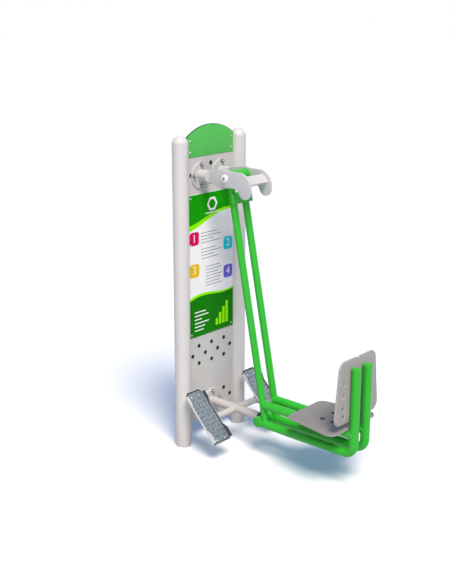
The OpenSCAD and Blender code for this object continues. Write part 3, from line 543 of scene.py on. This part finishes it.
# Two blocks of rules with ragged ends, the upper one parted by a blank line
ends = 40 * np.sin(2.4 * np.arange(9))
line, rule_h = 22, 6
printed("grey_rules", "grey", 1,
        [rule(-104, 60 + ends[k], 1480 - line * k, rule_h) for k in range(9) if k != 4]
        + [rule(-60, 90 + ends[k] / 2, 1240 - line * k, rule_h) for k in range(7)])
tabs = {"magenta": (-168, 1452, "1"), "cyan": (168, 1372, "2"), "yellow": (-168, 1232, "3"),
        "violet": (168, 1170, "4")}
tab_half, tab_corner = 46, 20
for ink, (tab_y, tab_z, _) in tabs.items():
    printed(f"{ink}_tab", ink, 1, [oblong(tab_y - tab_half, tab_y + tab_half, tab_z - tab_half,
                                          tab_z + tab_half, tab_corner)])
# White marks: a hexagon with a rule below it, a number on each tab, and six rules at the foot
white_x, number_x, number_size = 10.3, 10.32, 0.078
hexagon, hexagon_at = arc(0, 0, 1, 0, 300, 5), (10, 1668)
marks = [film(rounded(52 * hexagon + hexagon_at, 8), white_x,
              holes=[rounded(34 * hexagon + hexagon_at, 5)])]
for tab_y, tab_z, number in tabs.values():
    text = bpy.data.curves.new("number", "FONT")
    text.body, text.size, text.align_x, text.align_y = number, number_size, "CENTER", "CENTER"
    written = bpy.data.objects.new("number", text)
    flat = bpy.data.meshes.new_from_object(written)
    points = np.empty(len(flat.vertices) * 3)
    flat.vertices.foreach_get("co", points)
    points = points.reshape(-1, 3) * 1000
    marks.append((np.insert(points[:, :2] + (tab_y, tab_z), 0, number_x, axis=1),
                  [tuple(face.vertices) for face in flat.polygons]))
    bpy.data.objects.remove(written)
    bpy.data.meshes.remove(flat)
marks.append(film(rule(-60, 80, 1610, 7), white_x))
marks += [film(rule(-170, -60 + ends[k], 935 - 26 * k, 8), white_x) for k in range(6)]
piece("white_marks", marks, inks["white"], "stand")
printed("lime_chart", "lime", 2, [oblong(40 + 34 * k, 66 + 34 * k, 800, 850 + 36 * k, 5)
                                  for k in range(4)])

# ---- Rivets ----
# Blind rivets with 12 mm heads, bright zinc, four through the header and eight through the
# board. The head is a low dome with the broken end of the mandrel sunk in its middle.


def plated(name, base, roughness, streaks=0.06):
    """Zinc-plated steel: a bright metal with faint 8 mm clouds of passivation and handling
    marks, which change its gloss too."""
    return patchy(name, base, roughness, 8, 5.0, (0.86, 1.08), (streaks, 2 * streaks),
                  metallic=1.0)[0]


zinc = plated("zinc_plated_steel", "#D4D6D8", 0.3)
rivet_r, mandrel_r = 6, 1.5
rivet_rim = [(rivet_r, 0.2), (rivet_r, -0.3), (0, -0.3)]
blind_rivet = [(0, 1.6), (mandrel_r, 1.6), (mandrel_r, 2.9), *arc(0, -4.5, 7.5, 78, 37, 6),
               *rivet_rim]
header_rivets = [(board_x, side * 198, z) for side in (-1, 1) for z in (2032, 2105)]
board_rivets = [(board_x, side * 200, 783 + row * 944 / 3) for side in (-1, 1)
                for row in range(4)]
rivet_heads = piece("rivet_heads", [turned(blind_rivet, place, x_axis, 24)
                                    for place in header_rivets + board_rivets],
                    zinc, "stand")
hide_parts("panel_rivets")

# ---- Head flanges and clamp plates ----
# Round flanges turned from 10 mm plate, each with a stub tube welded on to carry the head, and
# plates behind the panel that clamp it. All are powder-coated a shade darker than the posts.
flange_coat = powder_coat("flange_powder_coat", "#CDC9C7")


def disc(thickness, edge_r=1.5):
    """The profile of a disc of the flanges' size, with its outer edge rounded."""
    return [(0, 0), (flange_r, 0),
            *arc(flange_r - edge_r, thickness - edge_r, edge_r, 0, 90, 4)]


flange_t, clamp_t = 10, 8
stub_r, stub_edge_r, stub_end = 38, 1.2, size_of("left_head_flange")[1][0] - panel_x
stub = [*disc(flange_t), (stub_r, flange_t), *arc(
    stub_r - stub_edge_r, stub_end - stub_edge_r, stub_edge_r, 0, 90, 3), (0, stub_end)]
for name, (y, z) in zip(("left", "right"), flange_places):
    head_flange = piece(f"{name}_flange_and_stub", [turned(stub, (panel_x, y, z), x_axis, 120)],
                        flange_coat, "stand")
    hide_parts(f"{name}_head_flange")
lower_flange = piece("lower_flange", [turned([*disc(flange_t), (0, flange_t)],
                                             (panel_x, *flange_places[2]), x_axis, 120)],
                     flange_coat, "stand")
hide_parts("beam_flange")
clamp_profile = [*disc(clamp_t), (0, clamp_t)]
for name, (y, z) in zip(("left", "right", "low"), flange_places):
    clamp = piece(f"{name}_clamp_disc", [turned(clamp_profile, (-panel_x, y, z), -x_axis, 96)],
                  flange_coat, "stand")
    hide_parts(f"{name}_clamp_plate")

# ---- Flange bolts ----
# Twelve M16 through bolts: a washer and a domed cap nut in front, a washer and a chamfered
# hexagon head behind, all hot-dip zinc. The profiles give radius and height off the plate.
across_flats, bolt_circle_r = 24, 71
washer = [(0, 0), (14.6, 0), (15.2, 0.5), (15.2, 2.0), (14.6, 2.5), (0, 2.5)]
cap_nut = [(0, 2.4), (12.0, 2.4), (13.9, 3.6), (13.9, 11.2), (12.0, 12.4), (11.0, 12.6),
           *arc(0, 13, 10.9, 0, 90, 10)]
bolt_head = [(0, 2.4), (13.9, 2.4), (13.9, 7.0), (12.2, 8.0), (0, 8.0)]
bolts = []
for y, z in flange_places:
    for dy, dz in ((1, 0), (0, 1), (-1, 0), (0, -1)):
        for x, axis, head in ((panel_x + flange_t, x_axis, cap_nut),
                              (-panel_x - clamp_t, -x_axis, bolt_head)):
            place = (x, y + bolt_circle_r * dy, z + bolt_circle_r * dz)
            bolts += [turned(washer, place, axis, 36),
                      turned(head, place, axis, 60, across_flats)]
galvanised_bolt = plated("hot_dip_zinc_bolts", "#A2A4A8", 0.27, streaks=0.08)
bolt_set = piece("cap_nuts_and_bolts", bolts, galvanised_bolt, "stand")
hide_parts("flange_bolts")

# ---- Cheeks ----
# Two 16 mm steel plates, flame-cut to a bent nose with a hook below it and ground round at the
# edges, powder-coated silver grey. Their tails are welded to the stub tubes.
cheek_coat = powder_coat("cheek_powder_coat", "#D2D1D1", 0.4)
pivot = middle_of("axle")
cheek_in, cheek_out = (corner[1] for corner in size_of("right_cheek"))
# From the pivot: the tail's end, round the eye to the hook's throat, round the hook, up over the
# nose and back over the eye
outline = [(-147, 38), (-147, -38), *arc(0, 0, 57, -97.6, -90, 3), *arc(92, -85, 28, 90, 0, 10),
           *arc(168, -70, 48, 198.2, 360, 30), *arc(120, -47, 97, -13.7, 90, 30),
           *arc(0, 0, 57, 61.3, 97.6, 8)]
for side, name in sides:
    cheek = piece(f"{name}_cheek_plate", [plate(
        outline, cheek_out - cheek_in, 2.2, pivot + side * cheek_out * y_axis, x_axis, z_axis,
        -side * y_axis)], cheek_coat, "stand")
    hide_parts(f"{name}_cheek")

# ---- Brace ----
# A pale 18 mm plate set at 45 degrees between the noses of the cheeks, with a fillet weld
# round each end.
brace_coat = powder_coat("brace_powder_coat", "#D6D2D1", 0.4)
out, up = (z_axis + x_axis) * np.sqrt(0.5), (z_axis - x_axis) * np.sqrt(0.5)
nose = pivot + (120, 0, -47)
brace_out, brace_t, brace_half = 66, 18, 35
brace = piece("brace_bar", [plate(
    oblong(-cheek_in, cheek_in, -brace_half, brace_half, 1), brace_t, 2,
    nose + brace_out * out, y_axis, up, -out)], brace_coat, "stand")
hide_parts("brace_plate")

# ---- Axle, caps and washers ----
# A fixed 30 mm bright steel axle. Each end is capped by a turned, crowned disc with a socket
# screw sunk in its middle, and a thrust washer keeps the hub off the cheek.
dress(zinc, "axle", "thrust_washers")
disc_coat = powder_coat("white_enamel_disc", "#F4F3F2", 0.3)
# From the screw's seat up its bore, over the crown and round the rim to the cheek
cap_profile = [(0, 7), (8.3, 7), (8.7, 11.7), *arc(0, -111, 123.3, 86, 78.5, 5),
               *arc(25.5, 7.5, 1.5, 60, 0, 4), (27, 0), (0, 0)]
axle_discs = piece("axle_discs", [turned(cap_profile, pivot + side * cheek_out * y_axis,
                                         side * y_axis, 72) for side in (-1, 1)],
                   disc_coat, "stand")
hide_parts("axle_caps")
screw_steel = plated("grey_phosphated_screw", "#8A8C90", 0.45)
dress(screw_steel, "axle_screws")

# ---- Beam, plug and bumper ----
# A 60 mm tube welded to the lower flange and closed by a plug. A moulded rubber bumper on its
# end stops the swinging frame.
# The beam's coat is the posts' paint set darker: painted shade for the shade that the swinging
# frame casts on the beam. The plug, the foot bar and the carriers share it.
beam_coat_painted_shade = powder_coat("beam_powder_coat_with_painted_shade", "#C9C3C0", dusty=0.3)
dress(beam_coat_painted_shade, "beam", "beam_plug", "foot_bar", "left_foot_carrier", "right_foot_carrier")
beam_end, beam_r, beam_top = size_of("beam_plug")[1]
beam_z = beam_top - beam_r
rubber = moulded("moulded_black_rubber", "#141416", 0.72, grain=1.5, depth=0.3, detail=4.0,
                 strength=0.6)
bumper_r, rib_r = 24, 1.6
bumper_profile = [
    (0, 0), (bumper_r, 0), *arc(bumper_r, 1, 1, -90, 90, 4),
    *arc(bumper_r, 5, rib_r, 270, 90, 5), *arc(bumper_r, 10.5, rib_r, 270, 90, 5),
    *arc(20.5, 15.2, 4.5, 0, 90, 6), (0, 19.7)]
bumper_piece = piece("ribbed_bumper", [turned(bumper_profile, (beam_end, 0, beam_z), x_axis, 64)],
                     rubber, "stand")
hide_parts("bumper")

# ---- Foot bar ----
# A 48 mm tube that crosses the beam and carries the foot plates, with plastic caps in its ends.
cap_plastic = moulded("grey_polyethylene_cap", "#77797C", 0.5, grain=1, depth=0.2)
foot_bar_at, foot_bar_r = middle_of("foot_bar"), 24
foot_bar_end = size_of("foot_bar_caps")[1][1]
bar_cap = [(0, -4), (foot_bar_r, -4), *arc(foot_bar_r - 2.5, -2.5, 2.5, 0, 90, 5), (0, 0)]
bar_caps = piece("foot_bar_end_caps", [
    turned(bar_cap, foot_bar_at + side * foot_bar_end * y_axis, side * y_axis, 48)
    for side in (-1, 1)], cap_plastic, "stand")
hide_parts("foot_bar_caps")

# ---- Foot plates ----
# Trays folded from 3 mm sheet, painted light outside. A tread of thinner galvanised sheet,
# pressed with crossing raised bars for grip, is riveted into each.
tilt, plate_shift, plate_lift = np.radians(46.1), 11, 30.4
down, off = np.array((np.cos(tilt), 0, -np.sin(tilt))), np.array((np.sin(tilt), 0, np.cos(tilt)))
plate_base = foot_bar_at - plate_shift * down + plate_lift * off
plate_y = middle_of("right_foot_plate")[1]
tread_h, bar_rise = 5, 1.5


def galvanised(name, base, roughness):
    """Hot-dip galvanised sheet: interlocking zinc crystals of about 12 mm with wavy borders, each
    with its own tone and gloss, under a dull grey bloom. The tops of the pressed bars, 5.2 to 6.2
    mm off the plate's base, are painted lighter as a painted highlight, where they catch the light."""
    material, tree, shader = new_material(name, base, roughness, 0.6)
    where = add(tree, "ShaderNodeTexCoord").outputs["Object"]
    waves = add(tree, "ShaderNodeTexNoise", {"Vector": where, "Scale": 1000 / 10})
    bent = add(tree, "ShaderNodeMix", {"Factor": 0.006, "A": where,
               "B": waves.outputs["Color"]}, data_type="RGBA", blend_type="ADD")
    spangle = add(tree, "ShaderNodeTexVoronoi", {"Vector": bent.outputs["Result"],
                  "Scale": 1000 / 12})
    shade = add(tree, "ShaderNodeSeparateXYZ", {"Vector": spangle.outputs["Color"]})
    height = add(tree, "ShaderNodeVectorMath", {0: where, 1: tuple(off)},
                 operation="DOT_PRODUCT")
    base_height = float(plate_base @ off / 1000)
    # Painted highlight: the bars' tops are lighter, as where they catch the light.
    bar_top_highlight = add(tree, "ShaderNodeMapRange", {"Value": height.outputs["Value"],
                 "From Min": base_height + 0.0052, "From Max": base_height + 0.0062})
    tone = add(tree, "ShaderNodeMix", {
        "Factor": bar_top_highlight.outputs["Result"], "B": colour("#A2AAB2"),
        "A": mottled(tree, base, shade.outputs["X"], 0.78, 1.15)}, data_type="RGBA")
    tree.links.new(tone.outputs["Result"], shader.inputs["Base Color"])
    gloss = add(tree, "ShaderNodeMapRange", {"Value": shade.outputs["Y"],
                "To Min": roughness - 0.08, "To Max": roughness + 0.12})
    tree.links.new(gloss.outputs["Result"], shader.inputs["Roughness"])
    return material


def tray_finish():
    """Tray sheet: light powder coat outside, and dark grey on the floor and walls inside. A point
    is inside where it lies between the two flanges, between the two end lips and above the sheet's
    lower face, each a distance in metres along one of the plate's own axes."""
    material = powder_coat("tray_powder_coat", "#EEEBED", 0.4)
    tree = material.node_tree
    shader = next(node for node in tree.nodes if node.type == "BSDF_PRINCIPLED")
    paint = shader.inputs["Base Color"].links[0].from_socket
    where = add(tree, "ShaderNodeTexCoord").outputs["Object"]
    across = add(tree, "ShaderNodeMath", {0: add(tree, "ShaderNodeSeparateXYZ", {
        "Vector": where}).outputs["Y"]}, operation="ABSOLUTE")
    within = add(tree, "ShaderNodeMath", {0: across.outputs[0], 1: plate_y / 1000, 2: 0.0812},
                 operation="COMPARE")
    for axis, middle, half in ((down, -0.0065, 0.1999), (off, 0.0515, 0.05)):
        distance = add(tree, "ShaderNodeVectorMath", {0: where, 1: tuple(axis)},
                       operation="DOT_PRODUCT")
        near = add(tree, "ShaderNodeMath", {0: distance.outputs["Value"], 1: float(
            plate_base @ axis / 1000 + middle), 2: half}, operation="COMPARE")
        within = add(tree, "ShaderNodeMath", {0: within.outputs[0], 1: near.outputs[0]},
                     operation="MULTIPLY")
    tone = add(tree, "ShaderNodeMix", {"Factor": within.outputs[0], "A": paint,
               "B": colour("#4C4E54")}, data_type="RGBA")
    tree.links.new(tone.outputs["Result"], shader.inputs["Base Color"])
    return material


def on_plate(points, side):
    """From a foot plate's own axes, down the slope, across and off the sheet, to its place."""
    x, y, z = points.T[..., None]
    return plate_base + x * down + (y + side * plate_y) * y_axis + z * off


def tread_points(rows, columns):
    """The pressed tread: across each row the sheet is as wide as the tray's plan there. In square
    cells of 32 mm, turned one way and the other by turns, a bar rises as 1.5 * sqrt(1 - (e / 15)
    squared - (f / 4) squared), where e runs along the bar and f across it."""
    top, foot, cell = -199, 186, 32
    x = np.linspace(top, foot, rows)
    half = np.interp(x, [top, -182, 182, foot], [43, 74, 74, 60])
    share = np.linspace(-1, 1, columns)
    x, y = x[:, None] + 0 * share, half[:, None] * share
    i, j = np.round(x / cell), np.round(y / cell)
    turn = np.where((i + j) % 2 == 0, 1, -1)
    dx, dy = x - cell * i, y - cell * j
    e, f = (dx + turn * dy) / np.sqrt(2), (dy - turn * dx) / np.sqrt(2)
    z = tread_h + bar_rise * np.sqrt(np.clip(1 - (e / 15) ** 2 - (f / 4) ** 2, 0, 1))
    # The rim turns down to the tray's 3 mm sheet
    z[[0, -1]], z[:, [0, -1]] = 3, 3
    return np.stack([x, y, z], axis=2).reshape(-1, 3)


dress(tray_finish(), "left_foot_plate", "right_foot_plate")
tread_zinc = galvanised("galvanised_tread", "#7E8895", 0.5)
tread_rows, tread_columns = 250, 100
index = np.arange(tread_rows * tread_columns).reshape(tread_rows, tread_columns)
# The underside is one flat face round the rim
rim = np.concatenate([index[0, :-1], index[:-1, -1], index[-1, :0:-1], index[:0:-1, 0]])
tread_faces = [*cells(tread_rows, tread_columns, wrap_columns=False).tolist(), rim.tolist()]
tread_rivet = [*arc(0, -4.5, 7.5, 90, 37, 6), *rivet_rim]
tread_rivet_parts = []
for side, name in sides:
    tread_piece = piece(f"{name}_pressed_tread", [
        (on_plate(tread_points(tread_rows, tread_columns), side), tread_faces)],
        tread_zinc, "stand")
    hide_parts(f"{name}_tread")
    for x in (-169, 169):
        for y in (-36, 36):
            points, faces = turned(tread_rivet, (x, y, tread_h), z_axis, 24)
            tread_rivet_parts.append((on_plate(points, side), faces))
tread_rivet_piece = piece("tread_rivet_heads", tread_rivet_parts, zinc, "stand")
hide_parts("tread_rivets")

# ---- Swinging frame ----
# Round tubes welded into one green frame: the hub between the cheeks, two arms down from it,
# an upper and a lower rail on each side, and the lower rails' bends up into the uprights.
frame_coat = powder_coat("green_powder_coat", "#2EBA2E", 0.32, dusty=0.12, specular=0.35)
dress(frame_coat, "hub", "left_arm", "right_arm", "left_high_rail", "right_high_rail",
      "left_low_rail", "right_low_rail", "cross_barrel")
dress(zinc, "left_bearing", "right_bearing")
# The arms lean back by 11.3 degrees: along runs down them, and ahead is square to them
lean = np.radians(11.3)
ahead = np.array((np.cos(lean), 0, np.sin(lean)))
along = np.array((np.sin(lean), 0, -np.cos(lean)))
front_bar_piece = piece("front_bar_plate", [plate(
    oblong(-98, 98, -37, 37, 4), 10, 1.6, pivot + 32 * ahead + 135.6 * along, y_axis, -along,
    -ahead)], frame_coat, "swing")
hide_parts("front_bar")


def ring(centre, axis, r, steps):
    """Points round a circle about an axis."""
    _, u, v = axes_about(axis)
    a = np.linspace(0, 2 * np.pi, steps, endpoint=False)[:, None]
    return centre + r * (np.cos(a) * u + np.sin(a) * v)


def saddle(start, direction, r, other, other_axis, other_r, steps):
    """Where a tube of radius r meets another tube: from each point on the first tube's rim the
    path runs along its axis until the distance to the second tube's axis is other_r, which is a
    quadratic. Where the rim misses the second tube, the nearest approach is used."""
    d, e = axes_about(direction)[0], axes_about(other_axis)[0]
    rim = ring(start, direction, r, steps)
    o = rim - other
    o = o - (o @ e)[:, None] * e
    dd = d - (d @ e) * e
    b = o @ dd
    gap = b * b - (dd @ dd) * ((o * o).sum(axis=1) - other_r ** 2)
    return rim + ((-b - np.sqrt(np.maximum(gap, 0))) / (dd @ dd))[:, None] * d


hub_r, arm_r, rail_r, frame_y, weld_r = 45, 24, 30, 60, 3.2
barrel, barrel_r, barrel_end = middle_of("cross_barrel"), 34.5, size_of("cross_barrel")[1][1]
high_rail_z = middle_of("right_high_rail")[2]
low_rail_z = size_of("right_low_rail")[0][2] + rail_r
upright_x, _, upright_top = size_of("right_low_rail")[1] - (rail_r, 0, 0)
frame_welds = []
for side in (-1, 1):
    at = side * frame_y * y_axis
    # Points on the axes of the arm, near its top and its foot, and of the two rails
    foot = pivot + at + along * (pivot[2] - low_rail_z) / np.cos(lean)
    high_rail, low_rail = at + (800, 0, high_rail_z), at + (800, 0, low_rail_z)
    for meeting in (
            (pivot + at + 300 * along, -along, arm_r, pivot, y_axis, hub_r, 150),
            (foot - 300 * along, along, arm_r, at + (0, 0, low_rail_z), x_axis, rail_r, 150),
            (high_rail, -x_axis, rail_r, foot, along, arm_r, 170),
            (high_rail, x_axis, rail_r, at + (upright_x, 0, 0), z_axis, rail_r, 180),
            (low_rail, -x_axis, rail_r, barrel, y_axis, barrel_r, 180)):
        frame_welds.append(bead(saddle(*meeting), weld_r))
    for bar_side in (-1, 1):
        top = pivot + at + bar_side * 9.8 * y_axis + 22.5 * ahead
        frame_welds.append(bead(straight(top + 99 * along, top + 172 * along), 3, closed=False))
piece("frame_welds", frame_welds, frame_coat, "swing")

# Pressed caps close the uprights' tops and the barrel's ends
cap_edge_r, barrel_edge_r, barrel_cap_t = 1.4, 2, 4
upright_cap = [(0, -2), (rail_r, -2), *arc(rail_r - cap_edge_r, 0, cap_edge_r, 0, 60, 3),
               *arc(0, -146, 149, 79.5, 90, 6)]
for side, name in sides:
    made = piece(f"{name}_upright_lid", [
        turned(upright_cap, (upright_x, side * frame_y, upright_top), z_axis, 64)],
        frame_coat, "swing")
    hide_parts(f"{name}_upright_cap")
barrel_cap = [(0, 0), (barrel_r, 0), *arc(
    barrel_r - barrel_edge_r, barrel_cap_t - barrel_edge_r, barrel_edge_r, 0, 90, 5),
              (0, barrel_cap_t)]
barrel_lids = piece("barrel_lids", [
    turned(barrel_cap, barrel + side * barrel_end * y_axis, side * y_axis, 72)
    for side in (-1, 1)], frame_coat, "swing")
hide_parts("barrel_caps")

# ---- Welds of the stand ----
# Fillet welds, painted over with the part that they run round: the stub tubes and the beam on
# their flanges, the foot bar on the beam, the cheeks on the stub tubes and the brace's ends.


def spaced(corners, step=1.3):
    """Evenly spaced points round an outline with straight sides."""
    return np.concatenate([straight(a, b, step)[:-1]
                           for a, b in zip(corners, np.roll(corners, -1, axis=0))])


flange_face = panel_x + flange_t
stand_welds = [bead(ring((flange_face, y, z), x_axis, r + 0.5, steps), weld_r)
               for (y, z), r, steps in zip(flange_places, (stub_r, stub_r, beam_r),
                                           (190, 190, 160))]
stand_welds += [bead(saddle(foot_bar_at + side * 200 * y_axis, -side * y_axis, foot_bar_r,
                            (0, 0, beam_z), x_axis, beam_r, 140), 3.0) for side in (-1, 1)]
piece("stand_welds", stand_welds, flange_coat, "stand")

tail_x, tail_half = pivot[0] - 147 + 0.5, 38
head_welds = []
for side in (-1, 1):
    tail = spaced(oblong(*sorted((side * cheek_in, side * cheek_out)), pivot[2] - tail_half,
                         pivot[2] + tail_half, 2, 3))
    head_welds.append(bead(np.insert(tail, 0, tail_x, axis=1), 3.0))
    loop = spaced([(brace_out - brace_t, -brace_half), (brace_out, -brace_half),
                   (brace_out, brace_half), (brace_out - brace_t, brace_half)])
    head_welds.append(bead(nose + loop[:, :1] * out + loop[:, 1:] * up
                           + side * cheek_in * y_axis, 3.0))
piece("head_welds", head_welds, cheek_coat, "stand")

# ---- Seat and back boards ----
# Two boards milled from 11 mm taupe polyethylene, alike in outline, narrower and notched at one
# end, with rounded edges, drain holes with sleeves, and four screws under black domed caps.
# The seat and the back are one polyethylene: the seat's darker tone is painted shade, and both
# boards' lighter edge tones are painted highlights.
seat_skin_painted_shade = plastic_board("taupe_polyethylene_seat_painted_shade", "#8A8685", "#9E9A98", "Z")
back_skin = plastic_board("taupe_polyethylene_back", "#ADA7A4", "#B4AFAC", "X")
black_caps_and_shade_sleeves = moulded("black_polyethylene_caps_and_shade_sleeves", "#2B2B2E", 0.5, grain=1, depth=0.2)


def board_outline(half, corner_r=57, narrow_y=138, far_x=357):
    """The outline of a board, 390 mm wide at the notched end and twice half at the other: an arc
    at each corner, from one side's direction to the next, and the notch's arc."""
    y = half - corner_r
    flare = np.degrees(np.arctan2(y - narrow_y, far_x - corner_r))
    return [*arc(far_x, y, corner_r, 0, 90 + flare, 20),
            *arc(corner_r, narrow_y, corner_r, 90 + flare, 180, 16),
            *arc(-4.8, 0, 14.8, 71.1, -71.1, 12),
            *arc(corner_r, -narrow_y, corner_r, 180, 270 - flare, 16),
            *arc(far_x, -y, corner_r, 270 - flare, 360, 20)]


screw_cap = [(0, -0.3), (17, -0.3), (17, 1.2), *arc(15.4, 1.2, 1.6, 0, 50, 4),
             *arc(0, -17.6, 24.6, 52, 90, 8)]
(seat_x, _, _), (_, seat_half, seat_top) = size_of("seat_board")
(back_x, _, _), (_, back_half, back_top) = size_of("back_board")
board_t, board_edge_r, drain_r = 11, 4, 11
for name, skin, half, origin, u, w, bore_r, sleeve, sleeve_coat, drains in (
        ("seat", seat_skin_painted_shade, seat_half, (seat_x, 0, seat_top), x_axis, -z_axis,
         3.5, 11.6, seat_skin_painted_shade, ((109, 164), (344, 176))),
        ("back", back_skin, back_half, (back_x, 0, back_top), -z_axis, x_axis,
         10.4, 4, black_caps_and_shade_sleeves, ((152, 147), (232, 148), (309, 145), (364, 140)))):
    holes = [arc(x, side * y, drain_r, 0, 337.5, 15) for x, y in drains for side in (-1, 1)]
    made = piece(f"{name}_slab", [plate(board_outline(half), board_t, board_edge_r, origin, u,
                                        y_axis, w, holes=holes, steps=6)],
                 skin, "swing")
    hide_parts(f"{name}_board")
    caps = [turned(screw_cap, origin + x * u + side * frame_y * y_axis, -w, 48)
            for x in (198, 279) for side in (-1, 1)]
    made = piece(f"{name}_screw_caps", caps, black_caps_and_shade_sleeves, "swing")
    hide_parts(f"{name}_screws")
    # On the back board the sleeves are black, painted shade on the holes' walls; on the seat they
    # are the seat's own taupe. The screw caps are black of their own.
    grommet = [(bore_r, -sleeve), (10.9, -sleeve), (10.9, -0.2), (12, -0.2),
               *arc(11.2, 0.1, 0.8, 0, 90, 3), *arc(bore_r + 0.4, 0.5, 0.4, 90, 180, 3),
               (bore_r, -sleeve)]
    piece(f"{name}_drain_grommets", [turned(grommet, origin + x * u + side * y * y_axis, -w, 32)
                                     for x, y in drains for side in (-1, 1)],
          sleeve_coat, "swing")
